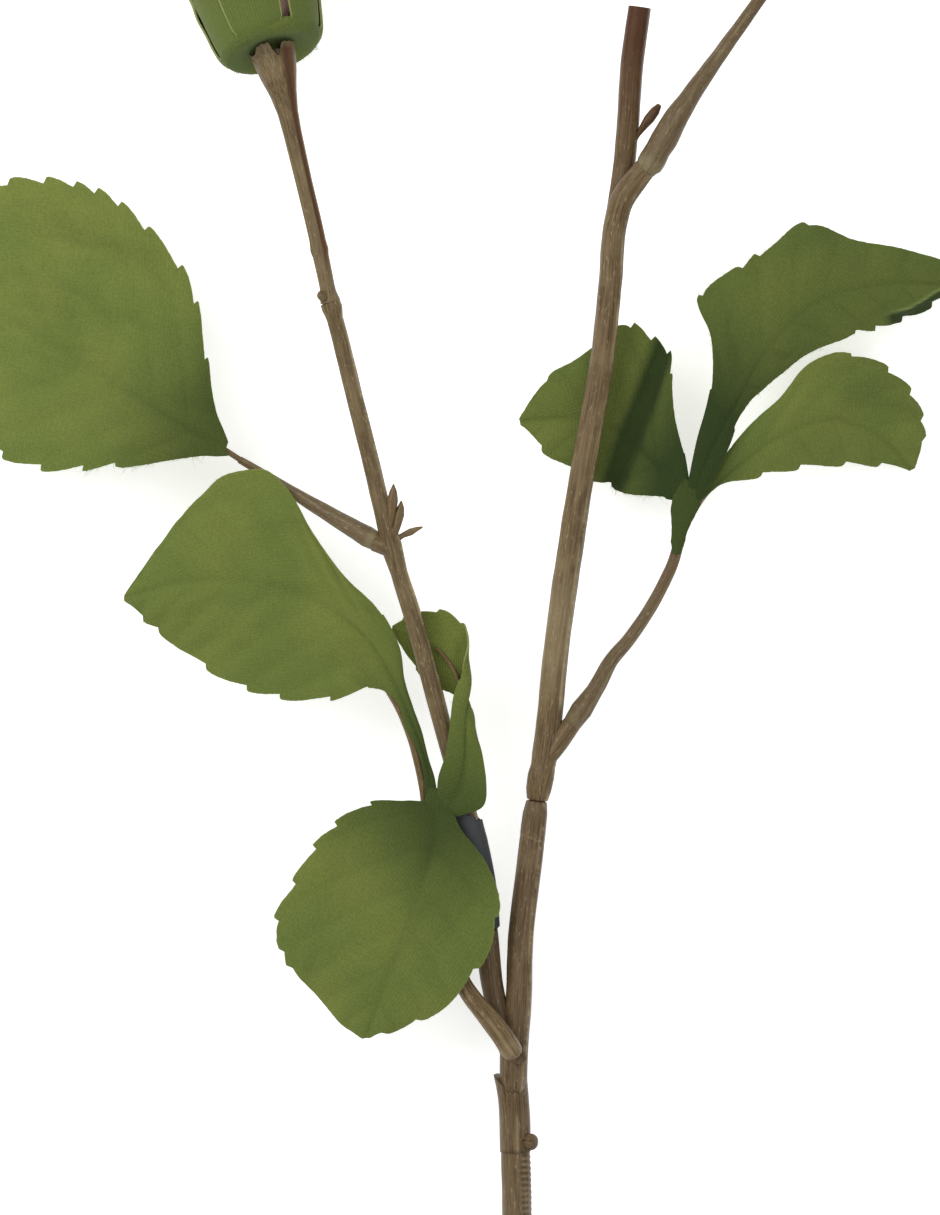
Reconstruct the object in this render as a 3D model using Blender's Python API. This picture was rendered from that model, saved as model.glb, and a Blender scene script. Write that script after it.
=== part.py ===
"""An artificial dahlia spray, laid on a surface: forked moulded stems, serrated fabric leaves and one bloom.

The pieces are drawn in millimetres from the fork, with +X to the right, +Y towards the bloom and +Z up
from the surface, and are turned to metres when their meshes are made. A route is a list of
(x, y, z, radius) and an outline a list of (x, y, z). The empty named fork puts the whole spray so that
the middle of its outline lies at the origin.
"""

import math

import bmesh
import bpy
import numpy as np

MM = 0.001

# The fork's place, from the middle of the spray's outline
FORK_X, FORK_Y = 7.6, -23.7

# Gap between pieces that are pushed together, and half the thickness of fabric
GAP = 0.3
HALF_SHEET = 0.3

# Moulded stems
CUT_END_Y = -255.0
STEM_RADIUS = 3.3
STEM_SINK = 0.35
RIDGE = 0.045
PEG_RADIUS, PEG_LENGTH, PEG_SHOULDER = 1.3, 3.5, 0.02

STEM_LOWER = [
    (-1.5, CUT_END_Y, STEM_RADIUS - STEM_SINK, 3.3),
    (-1.2, -225, 2.95, 3.3),
    (-0.6, -195, 3.0, 3.3),
    (0.4, -150, 4.2, 3.3),
    (1.2, -100, 6.3, 3.25),
    (1.0, -60, 8.6, 3.2),
    (0.4, -25, 11.2, 3.2),
    (0.1, -13.9, 12.1, 3.2),
    (0.1, -13.5, 12.1, 3.4),
    (-0.4, -0.5, 13.2, 3.45),
    (-0.7, 3.4, 13.5, 3.75),
]
MOULD_NUB = [
    (2.0, -11.9, 12.4, 1.0),
    (3.4, -11.8, 12.5, 1.65),
    (4.6, -11.7, 12.5, 1.6),
    (5.4, -11.6, 12.5, 0.9),
]

FORK_RIGHT = [
    (-0.4, 0.4, 14.7, 1.7),
    (-0.35, 1.4, 14.7, 2.5),
    (-0.2, 4.0, 14.7, 2.85),
    (0.8, 19.3, 14.8, 2.85),
    (1.2, 32.6, 15.0, 2.8),
    (3.3, 50.2, 15.6, 2.8),
    (4.5, 60.5, 15.9, 2.65),
    (4.8, 63.0, 16.0, 2.25),
]
FORK_LEFT = [
    (-0.2, 5.0, 14.2, 2.0),
    (-2.6, 12.0, 14.6, 2.3),
    (-4.8, 21.6, 15.1, 2.45),
    (-6.4, 34.6, 16.0, 2.65),
]
FORK_BOSS = [
    (-0.2, 3.0, 14.4, 2.0),
    (0.9, 4.2, 17.4, 1.9),
    (0.75, 5.6, 20.5, 1.8),
    (0.15, 6.9, 20.8, 1.7),
]
TONGUE_TIP = (-0.4, 0.0, 14.7, 1.6)

STEM_RIGHT = [
    (4.95, 63.8, 16.05, 2.3),
    (5.2, 65.6, 16.1, 2.75),
    (5.7, 68.6, 16.2, 2.95),
    (6.2, 71.0, 16.3, 2.7),
    (6.6, 73.6, 16.4, 2.85),
    (9.3, 98.6, 17.0, 2.8),
    (13.1, 124.9, 17.6, 2.75),
    (16.1, 142.5, 18.0, 2.7),
    (19.1, 160.0, 18.5, 2.65),
    (20.9, 177.6, 19.0, 2.6),
    (22.1, 190.3, 19.6, 2.6),
    (23.4, 195.0, 20.6, 2.6),
    (26.0, 198.9, 21.4, 2.65),
    (29.0, 202.5, 21.8, 2.7),
]
STEM_RIGHT_BOSS = [(5.9, 71.5, 16.4, 2.2), (9.2, 75.5, 17.0, 2.2), (12.3, 79.9, 17.6, 2.1)]
STUB = [
    (22.2, 192.5, 18.8, 2.2),
    (23.5, 199.5, 17.8, 2.45),
    (25.2, 217.0, 18.6, 2.45),
    (27.1, 237.3, 19.4, 2.55),
]
SIDE_BUD = [
    (25.2, 206.4, 18.6, 0.7),
    (27.4, 210.0, 19.2, 0.65),
    (29.1, 212.3, 19.4, 1.15),
    (30.7, 214.3, 19.6, 1.15),
    (31.8, 215.6, 19.7, 0.4),
]

STEM_LEFT = [
    (-6.5, 35.2, 16.05, 2.1),
    (-6.9, 41.4, 16.4, 2.1),
    (-10.1, 59.1, 17.9, 2.05),
    (-10.8, 61.8, 18.2, 2.05),
    (-15.1, 76.7, 20.2, 2.0),
    (-18.6, 89.8, 22.4, 2.0),
    (-22.2, 103.0, 24.4, 1.95),
    (-25.4, 113.4, 26.0, 1.9),
    (-27.1, 119.3, 26.9, 2.35),
    (-27.9, 122.6, 27.4, 2.05),
    (-29.5, 129.1, 28.3, 1.85),
    (-32.7, 142.3, 29.9, 1.8),
    (-35.9, 155.2, 31.2, 1.8),
    (-39.2, 168.6, 32.3, 1.8),
    (-39.8, 170.8, 32.5, 2.25),
    (-40.2, 172.0, 32.6, 2.2),
]
STEM_LEFT_BOSS = [(-26.9, 118.4, 26.8, 1.9), (-28.4, 119.2, 26.9, 2.1), (-30.4, 120.1, 26.7, 2.2)]
BUD_SCALES = [
    [(-27.4, 122.2, 28.4, 0.8), (-26.6, 126.6, 29.6, 1.15), (-26.5, 132.4, 30.6, 0.25)],
    [(-27.0, 120.8, 28.0, 0.8), (-25.4, 124.6, 28.8, 1.0), (-24.5, 128.8, 29.4, 0.25)],
    [(-26.8, 119.6, 27.2, 0.7), (-24.0, 121.4, 27.6, 0.75), (-20.6, 123.0, 28.0, 0.25)],
]

NECK = [
    (-40.3, 172.5, 32.65, 2.2),
    (-41.0, 175.6, 33.0, 1.75),
    (-42.9, 185.4, 34.0, 1.8),
    (-46.0, 198.3, 35.3, 1.85),
    (-48.4, 208.6, 36.1, 2.05),
    (-49.4, 213.0, 36.3, 2.3),
    (-50.4, 217.2, 36.3, 3.0),
    (-51.5, 221.4, 36.0, 4.1),
    (-52.6, 225.8, 35.0, 5.0),
]
FUNNEL_TIPS = (0.6, 0.5, -1.2, 0.5, 0.5, 0.9, 0.1, 0.0, 0.1, 0.2)
FUNNEL_FLARE, FUNNEL_WALL_SHARE, FUNNEL_FLOOR_SHARE, FUNNEL_DEPTH = 0.04, 0.16, 0.5, 3.6

# Dark sleeve round the left stem
SLEEVE = [(-6.5, 35.4, 16.06), (-6.9, 41.4, 16.4), (-11.3, 63.6, 18.43)]
SLEEVE_INNER, SLEEVE_OUTER, SLEEVE_SLANT = 2.55, 3.2, 5.5

# Leaf stalks, each with a wide collar at its foot
COLLAR_A = [(-30.9, 120.4, 26.6, 2.2), (-32.4, 121.2, 26.4, 2.6), (-34.6, 122.5, 25.9, 2.0)]
STALK_A = COLLAR_A + [
    (-37.2, 124.0, 24.9, 1.5),
    (-47.1, 129.9, 21.6, 1.15),
    (-55.5, 135.2, 19.0, 0.9),
    (-60.4, 138.1, 17.7, 0.8),
]
COLLAR_C = [
    (-0.1, 7.4, 20.9, 2.1),
    (-0.9, 8.6, 21.2, 2.5),
    (-2.9, 12.0, 21.1, 2.5),
    (-5.1, 14.8, 20.6, 2.3),
]
STALK_C = COLLAR_C + [
    (-11.4, 23.3, 19.0, 1.9),
    (-14.3, 32.7, 18.2, 1.7),
    (-16.5, 41.5, 18.0, 1.5),
    (-19.1, 54.7, 18.4, 1.3),
    (-20.2, 61.5, 19.0, 1.1),
]
COLLAR_F = [(12.7, 80.4, 17.7, 2.1), (14.6, 83.2, 17.9, 2.45), (17.4, 87.3, 17.7, 1.9)]
STALK_F = COLLAR_F + [
    (21.3, 94.2, 17.2, 1.6),
    (25.0, 98.6, 17.0, 1.5),
    (30.8, 107.4, 16.2, 1.35),
    (35.0, 116.2, 15.3, 1.25),
    (36.8, 124.0, 14.6, 1.1),
]
COLLAR_G = [
    (29.4, 203.0, 21.8, 2.75),
    (32.6, 208.1, 22.2, 3.0),
    (35.2, 212.9, 22.2, 2.7),
    (37.8, 216.8, 22.0, 2.2),
]
STALK_G = COLLAR_G + [
    (44.0, 225.7, 21.0, 1.7),
    (50.4, 234.6, 19.5, 1.45),
    (57.1, 243.9, 17.6, 1.3),
    (60.5, 248.4, 16.6, 1.1),
]
RIB_RADIUS, RIB_END_RADIUS = 0.65, 0.4
RIB_DEPTH = HALF_SHEET + GAP + RIB_RADIUS + 0.15
RIB_FADE = 0.35
# The rib of stalk C's long lobe runs beside the narrow strip before it goes under the lobe
RIB_C_LEAD = [
    (-20.3, 67.2, 19.8, 1.0),
    (-21.4, 72.0, 20.3, 0.95),
    (-22.5, 76.2, 20.6, 0.9),
    (-24.0, 80.4, 20.9, 0.9),
    (-25.5, 83.7, 21.1, 0.85),
    (-27.8, 87.7, 21.2, 0.8),
    (-33.0, 96.5, 21.6, 0.7),
]

# Serrated lobes: each has a middle line, a left and a right edge from foot to tip, the share of its
# length that is plain strip, and the share that its rib runs
TOOTH_DEPTH = 1.2
TIP_HALF = 0.6
LOBE_ARCH, ARCH_SHARE = 0.9, 0.06

LOBE_A = dict(
    middle=[(-63.4, 140.5, 19.0), (-70.7, 144.4, 19.2), (-82.1, 151.4, 19.0), (-102.2, 164.1, 15.6),
            (-115.7, 172.2, 11.0), (-127.2, 178.2, 5.0)],
    left=[(-63.0, 139.0, 19.0), (-75.7, 138.3, 18.6), (-89.0, 137.0, 16.6), (-104.6, 136.7, 12.6),
          (-113.6, 140.0, 10.0), (-121.5, 151.6, 7.4), (-126.8, 167.1, 5.2)],
    right=[(-63.0, 142.0, 19.0), (-66.3, 151.2, 19.6), (-68.5, 164.4, 19.4), (-71.4, 176.5, 18.2),
           (-80.2, 188.2, 16.2), (-90.3, 196.5, 13.6), (-102.5, 199.8, 11.0), (-113.7, 198.8, 8.4),
           (-121.6, 191.4, 6.4), (-126.3, 182.2, 5.2)],
    teeth=9, strip=0.03, rib=0.62,
)
LOBE_C_LONG = dict(
    middle=[(-18.3, 62.4, 21.9), (-19.0, 69.6, 22.0), (-20.8, 76.2, 22.2), (-23.2, 82.0, 22.4),
            (-26.0, 88.4, 22.7), (-32.2, 98.4, 23.2), (-42.7, 106.9, 23.6), (-58.0, 111.7, 23.2),
            (-73.4, 111.3, 21.0), (-85.9, 107.8, 17.5)],
    left=[(-19.4, 63.4, 21.9), (-20.2, 70.0, 22.0), (-21.9, 75.6, 22.2), (-24.2, 79.6, 22.3),
          (-25.6, 84.6, 22.4), (-29.0, 87.6, 22.4), (-40.6, 85.9, 21.4), (-52.0, 86.3, 20.4),
          (-62.1, 89.4, 19.6), (-71.4, 95.3, 18.6), (-80.2, 102.5, 18.0)],
    right=[(-17.1, 62.7, 21.9), (-17.6, 68.0, 21.9), (-19.2, 73.0, 22.0), (-20.9, 79.4, 22.3),
           (-22.6, 84.2, 22.6), (-24.2, 89.8, 23.0), (-25.6, 97.6, 23.4), (-30.0, 105.6, 24.0),
           (-38.3, 113.9, 24.6), (-44.4, 122.7, 24.6), (-50.4, 132.5, 23.8), (-55.4, 136.2, 23.0),
           (-62.9, 134.3, 22.2), (-69.1, 128.2, 21.0), (-77.9, 118.3, 19.0)],
    teeth=12, strip=0.34, rib=0.7,
)
LOBE_C_ROUND = dict(
    middle=[(-16.9, 62.3, 22.4), (-17.3, 58.8, 23.4), (-19.1, 50.5, 24.2), (-22.6, 39.6, 23.8),
            (-27.0, 27.4, 22.2), (-32.7, 11.2, 18.2)],
    left=[(-14.9, 62.9, 22.4), (-11.6, 57.1, 24.0), (-6.8, 50.0, 23.4), (-4.2, 41.7, 22.4),
          (-4.6, 34.6, 22.2), (-8.1, 27.4, 22.4), (-14.3, 19.6, 21.8), (-22.0, 14.8, 20.2)],
    right=[(-19.1, 63.1, 22.4), (-25.2, 63.4, 23.2), (-31.8, 62.7, 23.0), (-40.6, 57.0, 21.0),
           (-48.3, 45.5, 18.6), (-52.3, 36.0, 17.0), (-49.5, 26.9, 16.4), (-43.3, 19.5, 16.6),
           (-37.4, 13.3, 17.4)],
    teeth=8, strip=0.06, rib=0.6,
)
LOBE_C_TWISTED = dict(
    middle=[(-15.2, 60.9, 22.4), (-11.9, 66.9, 23.2), (-11.2, 72.3, 23.6), (-11.4, 77.8, 23.4),
            (-11.9, 83.3, 22.2), (-11.6, 87.8, 20.9), (-11.9, 91.8, 20.4), (-13.4, 94.5, 20.2),
            (-16.4, 97.4, 20.1), (-20.5, 99.8, 20.2), (-27.0, 101.0, 20.4)],
    left=[(-16.9, 61.8, 22.4), (-16.8, 68.6, 23.1), (-15.2, 73.0, 23.6), (-14.1, 78.1, 24.0),
          (-13.9, 81.6, 24.0), (-13.2, 85.4, 23.9), (-10.9, 88.6, 22.8), (-10.2, 92.6, 21.8),
          (-10.9, 100.8, 21.0), (-14.5, 104.3, 20.8), (-19.8, 104.9, 20.6), (-24.0, 103.6, 20.5)],
    right=[(-12.5, 60.1, 22.4), (-7.0, 62.3, 23.2), (-6.4, 68.0, 23.4), (-7.4, 73.6, 22.9),
           (-8.7, 79.2, 21.8), (-10.0, 84.6, 19.9), (-13.2, 86.9, 18.4), (-16.5, 88.2, 18.6),
           (-20.2, 90.8, 19.0), (-22.6, 93.4, 19.6), (-25.1, 97.0, 20.2)],
    teeth=9, strip=0.6, rib=0.8,
)
LOBE_F_LOW = dict(
    middle=[(37.1, 130.4, 17.0), (33.0, 135.1, 16.2), (27.5, 140.8, 14.4), (20.9, 145.9, 12.6),
            (12.2, 147.5, 11.4), (1.1, 146.7, 10.0)],
    left=[(37.1, 128.9, 17.0), (31.9, 129.8, 16.0), (23.6, 131.6, 13.6), (16.5, 133.8, 12.2),
          (10.0, 137.8, 11.2), (4.2, 142.7, 10.4)],
    right=[(38.4, 132.6, 17.0), (37.1, 140.3, 16.6), (34.7, 149.1, 16.0), (33.9, 156.9, 14.8),
           (32.4, 164.2, 13.2), (27.6, 167.7, 12.6), (21.0, 165.8, 12.2), (13.2, 159.8, 12.0),
           (5.5, 154.6, 11.2), (2.5, 150.4, 10.6)],
    teeth=8, strip=0.1, rib=0.6,
)
LOBE_F_HIGH = dict(
    middle=[(38.9, 130.0, 17.5), (43.2, 140.3, 18.5), (48.9, 151.2, 18.9), (55.9, 163.3, 18.2),
            (67.0, 173.3, 15.4), (80.6, 177.1, 10.0), (94.2, 177.4, 3.4), (104.5, 176.7, 0.3)],
    left=[(37.6, 131.1, 17.5), (39.9, 142.5, 18.7), (42.8, 153.4, 19.1), (43.2, 164.4, 18.8),
          (40.6, 174.1, 17.4), (49.4, 180.3, 16.6), (57.2, 185.7, 15.0), (64.8, 190.2, 13.0),
          (73.9, 187.2, 10.6), (85.1, 185.4, 7.6), (96.5, 182.3, 3.4)],
    right=[(40.6, 129.3, 17.5), (45.9, 138.5, 18.0), (50.1, 148.7, 17.5), (56.0, 155.1, 16.0),
           (62.7, 161.1, 14.0), (73.9, 166.0, 10.6), (83.0, 168.4, 7.2), (92.0, 170.7, 3.8),
           (100.0, 173.5, 0.8)],
    teeth=10, strip=0.2, rib=0.62,
)
LOBE_F_RIGHT = dict(
    middle=[(39.3, 128.9, 16.5), (47.2, 135.0, 16.5), (57.1, 142.5, 15.8), (69.4, 147.0, 13.6),
            (80.7, 143.6, 8.5), (88.1, 136.2, 3.5)],
    left=[(38.9, 130.6, 16.5), (44.6, 137.7, 16.5), (50.5, 144.7, 16.0), (57.8, 151.3, 15.0),
          (65.4, 159.3, 13.6), (73.9, 161.4, 11.6), (82.9, 157.7, 8.6), (89.3, 150.5, 6.0),
          (90.5, 142.8, 4.4)],
    right=[(38.9, 127.6, 16.5), (45.0, 132.6, 16.2), (54.3, 135.1, 14.8), (63.9, 136.9, 12.6),
           (73.3, 137.6, 9.6), (80.8, 137.5, 6.6)],
    teeth=8, strip=0.12, rib=0.6,
)
LOBE_G_LEFT = dict(
    middle=[(61.0, 251.6, 18.6), (57.6, 260.0, 18.8), (52.0, 272.0, 17.4), (46.0, 286.0, 13.4),
            (40.0, 302.0, 7.0)],
    left=[(60.0, 251.0, 18.6), (52.6, 257.0, 18.2), (41.0, 264.0, 15.6), (33.0, 275.0, 12.4),
          (32.6, 288.0, 9.6), (37.0, 298.0, 7.4)],
    right=[(62.4, 252.4, 18.6), (65.4, 263.0, 18.4), (67.4, 276.0, 16.4), (62.0, 288.0, 12.8),
           (51.0, 297.0, 9.2), (43.0, 301.0, 7.2)],
    teeth=8, strip=0.12, rib=0.6,
)
LOBE_G_HIGH = dict(
    middle=[(62.4, 251.2, 18.6), (68.6, 258.6, 18.8), (77.0, 269.0, 16.6), (87.0, 280.0, 12.0),
            (99.0, 292.0, 5.6)],
    left=[(61.6, 252.2, 18.6), (66.0, 262.0, 18.6), (70.0, 276.0, 16.2), (76.0, 288.0, 12.4),
          (86.0, 294.6, 9.0), (95.0, 294.4, 6.4)],
    right=[(63.4, 250.6, 18.6), (73.6, 254.6, 18.4), (86.0, 260.0, 15.6), (96.0, 267.0, 11.6),
           (101.0, 278.0, 8.2), (101.0, 288.0, 6.2)],
    teeth=8, strip=0.12, rib=0.6,
)
LOBE_G_RIGHT = dict(
    middle=[(62.6, 249.8, 18.6), (71.0, 250.6, 18.0), (83.0, 252.6, 14.6), (98.0, 254.0, 5.6),
            (112.0, 252.6, 0.3)],
    left=[(62.8, 251.0, 18.6), (72.0, 254.4, 17.8), (84.0, 262.0, 13.8), (96.0, 264.6, 8.2),
          (104.0, 262.0, 4.0), (109.6, 257.0, 1.2)],
    right=[(62.2, 248.8, 18.6), (72.0, 246.4, 18.0), (84.0, 243.6, 14.4), (96.0, 242.6, 8.4),
           (104.0, 244.6, 4.0), (109.6, 249.0, 1.2)],
    teeth=8, strip=0.12, rib=0.6,
)
# Fabric knots where the lobes of a leaf meet: (x, y, z, half width, half thickness)
KNOT_C = [(-17.3, 66.2, 21.9, 1.6, 0.4), (-17.3, 63.0, 22.1, 2.6, 0.7), (-17.2, 59.4, 22.5, 2.2, 0.4)]
KNOT_F = [(39.3, 133.2, 17.1, 2.2, 0.4), (38.2, 129.6, 17.0, 3.0, 0.7), (36.9, 123.0, 17.0, 1.6, 0.3),
          (35.7, 117.6, 17.3, 0.7, 0.3)]
KNOT_G = [(63.2, 252.8, 18.6, 2.2, 0.4), (61.6, 250.4, 18.6, 3.0, 0.7), (57.6, 244.8, 19.7, 1.6, 0.3),
          (54.6, 240.6, 20.4, 0.7, 0.3)]

# Bloom: profiles are (height along the bloom's own axis, radius) from the middle of the calyx
BLOOM_FOOT = (-53.1, 227.4, 34.4)
BLOOM_AXIS = (-0.269, 0.897, -0.35)
CALYX_DISH = [
    (-4.2, 1.2),
    (-0.1, 1.3),
    (-0.0, 5.6),
    (-0.9, 7.4),
    (-1.3, 9.4),
    (-0.8, 10.7),
    (0.6, 11.5),
    (1.8, 11.8),
]
CALYX_DISH_INSIDE = [(2.2, 11.0), (0.3, 10.2), (-0.2, 9.3), (0.2, 7.8), (1.0, 6.0), (1.1, 3.0)]
SEPALS = 6
FRONT_SEPAL_ANGLE = 96.0
SEPAL_PATH = [
    (-0.7, 9.0, 8.6),
    (0.0, 10.6, 10.6),
    (2.0, 11.6, 11.8),
    (6.0, 12.5, 12.9),
    (13.0, 13.5, 14.0),
    (20.0, 14.2, 14.2),
    (25.5, 14.9, 11.4),
    (29.5, 16.2, 2.0),
]
SEPAL_STEP, LARGEST_SEPAL_CUP = 0.45, 17.0
CORE = [
    (2.4, 3.0),
    (3.8, 7.6),
    (6.0, 9.8),
    (12.0, 10.3),
    (20.0, 10.7),
    (29.0, 11.4),
    (32.0, 11.2),
    (36.0, 9.2),
    (40.0, 6.0),
    (43.0, 1.6),
]
OUTER_PETALS, OUTER_STEP = 9, 0.45
OUTER_PATH = [
    (11.0, 9.8, 5.0),
    (17.0, 11.5, 8.5),
    (27.0, 12.1, 10.5),
    (30.6, 13.6, 11.5),
    (33.0, 18.0, 13.5),
    (34.6, 25.0, 15.0),
    (35.4, 31.6, 1.6),
]
SPIRAL_PETALS = 33
SPIRAL_ROOT_FROM, SPIRAL_ROOT_TO, ROOT_SUNK = 30.8, 42.4, 1.5
GOLDEN_TURN = math.radians(137.508)
DOME_MIDDLE, DOME_RADIUS, DOME_HEIGHT = 32.0, 32.0, 18.0
SMALLEST_CUP, LARGEST_CUP = 5.0, 12.0
PRESS_STEP, SPIRAL_LEVEL = 0.13, 1.1
PETAL_SOLVER = "MANIFOLD"

PLASTIC_BROWN = ("moulded_stem", (0.148, 0.103, 0.068), 0.42)
PLASTIC_STALK = ("moulded_stalk", (0.198, 0.160, 0.112), 0.42)
SLEEVE_SLATE = ("sleeve", (0.038, 0.042, 0.048), 0.5)
LEAF_GREEN = ("leaf_fabric", (0.152, 0.205, 0.052), 0.85)
SEPAL_GREEN = ("sepal_fabric", (0.120, 0.168, 0.048), 0.88)
PETAL_PINK = ("petal_fabric", (0.420, 0.290, 0.225), 0.85)


def clear_scene():
    """Removes whatever the scene held."""
    for old in list(bpy.data.objects):
        bpy.data.objects.remove(old, do_unlink=True)


def material(finish):
    """The plain material of a (name, colour, roughness)."""
    name, colour, roughness = finish
    made = bpy.data.materials.get(name)
    if made is None:
        made = bpy.data.materials.new(name)
        made.use_nodes = True
        shader = made.node_tree.nodes["Principled BSDF"]
        shader.inputs["Base Color"].default_value = (*colour, 1.0)
        shader.inputs["Roughness"].default_value = roughness
    return made


def unit(vectors):
    """Vectors brought to length one along their last axis."""
    return vectors / np.linalg.norm(vectors, axis=-1, keepdims=True)


def along(points, count=None, spacing=None, axes=3):
    """A smooth curve through the points: at count even steps, or at the points and every spacing between.

    What stands after the axes in each point, such as a radius, changes evenly between the points.
    """
    points = np.array(points, float)
    places, rest = points[:, :axes], points[:, axes:]
    spans = np.linalg.norm(np.diff(places, axis=0), axis=1)
    slopes = np.diff(places, axis=0) / spans[:, None]
    inner = slopes[:-1] * spans[1:, None] + slopes[1:] * spans[:-1, None]
    inner /= (spans[:-1] + spans[1:])[:, None]
    tangents = np.vstack([slopes[:1], inner, slopes[-1:]])
    ends = np.concatenate([[0.0], np.cumsum(spans)])
    if count:
        at = np.linspace(0.0, ends[-1], count)
    else:
        steps = []
        for a, b in zip(ends, ends[1:]):
            steps.append(np.linspace(a, b, max(1, round((b - a) / spacing)) + 1)[:-1])
        at = np.append(np.concatenate(steps), ends[-1])
    span = np.clip(np.searchsorted(ends, at, side="right") - 1, 0, len(spans) - 1)
    length = spans[span][:, None]
    t = ((at - ends[span]) / spans[span])[:, None]
    curve = (1 + 2 * t) * (1 - t) ** 2 * places[span] + t * t * (3 - 2 * t) * places[span + 1]
    curve += length * (t * (1 - t) ** 2 * tangents[span] + t * t * (t - 1) * tangents[span + 1])
    return np.hstack([curve, (1 - t) * rest[span] + t * rest[span + 1]])


def rings_along(route, sides=10, spacing=9.0, ridge=RIDGE):
    """Rings of points square to a route, with shallow ridges along it."""
    stations = along(route, spacing=spacing)
    centres, radii = stations[:, :3], stations[:, 3]
    forward = unit(np.gradient(centres, axis=0))
    across = unit(np.cross(forward, (0.0, 0.0, 1.0)))
    upward = np.cross(across, forward)
    angles = 2 * math.pi * np.arange(sides) / sides
    relief = 1 + ridge * np.where(np.arange(sides) % 2, -1.0, 1.0)
    circle = np.cos(angles)[:, None, None] * across + np.sin(angles)[:, None, None] * upward
    rings = centres + circle * (radii * relief[:, None])[:, :, None]
    return list(rings.transpose(1, 0, 2))


def skin(rings, ring_shaped=False):
    """Points and faces of the closed shape that joins the rings in turn, its ends filled or joined."""
    sides = len(rings[0])
    points = np.concatenate(rings)
    points[:, 2] = np.maximum(points[:, 2], 0.0)
    count = len(points)
    faces = [] if ring_shaped else [tuple(range(sides)), tuple(reversed(range(count - sides, count)))]
    for start in range(0, count if ring_shaped else count - sides, sides):
        after = (start + sides) % count
        for i in range(sides):
            j = (i + 1) % sides
            faces.append((start + i, after + i, after + j, start + j))
    return points, faces


def tube(route, **shape):
    """Points and faces of a closed tube along a route."""
    return skin(rings_along(route, **shape))


def blade(grid, half=HALF_SHEET, level=0.0):
    """Points and faces of a thin sheet either side of a grid of points, split alike on both sides.

    What is pressed down to the level lies flat.
    """
    rows, columns = grid.shape[:2]
    normals = unit(np.cross(np.gradient(grid, axis=1), np.gradient(grid, axis=0)))
    normals[-1] = unit(normals[-2].mean(axis=0))
    pressed = grid[:, :, 2] <= level
    normals[pressed] = np.sign(normals[pressed, 2:]) * (0.0, 0.0, 1.0)
    offset = normals * np.reshape(half, (-1, 1, 1))
    points = np.concatenate([(grid + offset).reshape(-1, 3), (grid - offset).reshape(-1, 3)])
    under = rows * columns
    faces = []
    for i in range(rows - 1):
        for j in range(columns - 1):
            a, b = i * columns + j, i * columns + j + 1
            c, d = b + columns, a + columns
            for corners in ((a, b, c), (a, c, d)):
                faces.append(corners)
                faces.append(tuple(under + k for k in reversed(corners)))
    rim = list(range(columns)) + [i * columns + columns - 1 for i in range(1, rows)]
    rim += [(rows - 1) * columns + j for j in range(columns - 2, -1, -1)]
    rim += [i * columns for i in range(rows - 2, 0, -1)]
    for a, b in zip(rim, rim[1:] + rim[:1]):
        faces.append((under + a, under + b, b))
        faces.append((under + a, b, a))
    return points, faces


def add(name, shape, finish, parent):
    """An object made from points in millimetres and faces."""
    points, faces = shape
    mesh = bpy.data.meshes.new(name)
    mesh.from_pydata((points * MM).tolist(), [], faces)
    mesh.materials.append(material(finish))
    made = bpy.data.objects.new(name, mesh)
    bpy.context.scene.collection.objects.link(made)
    made.parent = parent
    return made


def combine(body, others, operation, solver="EXACT"):
    """Joins the others to the body, or cuts them from it, and removes them."""
    group = bpy.data.collections.new(body.name + "_others")
    bpy.context.scene.collection.children.link(group)
    for other in others:
        for holder in other.users_collection:
            holder.objects.unlink(other)
        group.objects.link(other)
    change = body.modifiers.new(operation.lower(), "BOOLEAN")
    change.operation = operation
    change.solver = solver
    change.operand_type = "COLLECTION"
    change.collection = group
    graph = bpy.context.evaluated_depsgraph_get()
    result = bpy.data.meshes.new_from_object(body.evaluated_get(graph))
    body.modifiers.clear()
    body.data = result
    for other in others:
        bpy.data.objects.remove(other, do_unlink=True)
    bpy.data.collections.remove(group)
    return body


def fused(name, shapes, finish, parent, solver="EXACT"):
    """One object made from several overlapping shapes."""
    body = add(name, shapes[0], finish, parent)
    others = [add(f"{name}_piece", shape, finish, parent) for shape in shapes[1:]]
    return solid_only(combine(body, others, "UNION", solver)) if others else body


def solid_only(body):
    """Fills the tiny pockets shut in between crossing sheets, by keeping only the largest surface."""
    mesh = bmesh.new()
    mesh.from_mesh(body.data)
    left, surfaces = set(mesh.verts), []
    while left:
        found = [left.pop()]
        for vert in found:
            beside = {edge.other_vert(vert) for edge in vert.link_edges} & left
            left -= beside
            found.extend(beside)
        surfaces.append(found)
    surfaces.sort(key=len)
    for found in surfaces[:-1]:
        bmesh.ops.delete(mesh, geom=found, context="VERTS")
    mesh.to_mesh(body.data)
    mesh.free()
    return body


def drilled(body, holes):
    """The body with the holes cut from it."""
    cutters = [add("hole", hole, PLASTIC_BROWN, body.parent) for hole in holes]
    return combine(body, cutters, "DIFFERENCE")


def smoothed(made, angle=40.0):
    """Smooth shading on round faces, with sharp edges kept."""
    made.data.shade_smooth()
    made.data.set_sharp_from_angle(angle=math.radians(angle))


def pegged(route, radius=PEG_RADIUS):
    """A route with a narrower peg beyond its last point."""
    end, before = np.array(route[-1][:3], float), np.array(route[-2][:3], float)
    forward = unit(end - before)
    shoulder = end + forward * PEG_SHOULDER
    return list(route) + [(*shoulder, radius), (*(end + forward * PEG_LENGTH), radius)]


def footed(route, radius=PEG_RADIUS):
    """A route with a narrower peg before its first point."""
    return pegged(route[::-1], radius)[::-1]


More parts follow.
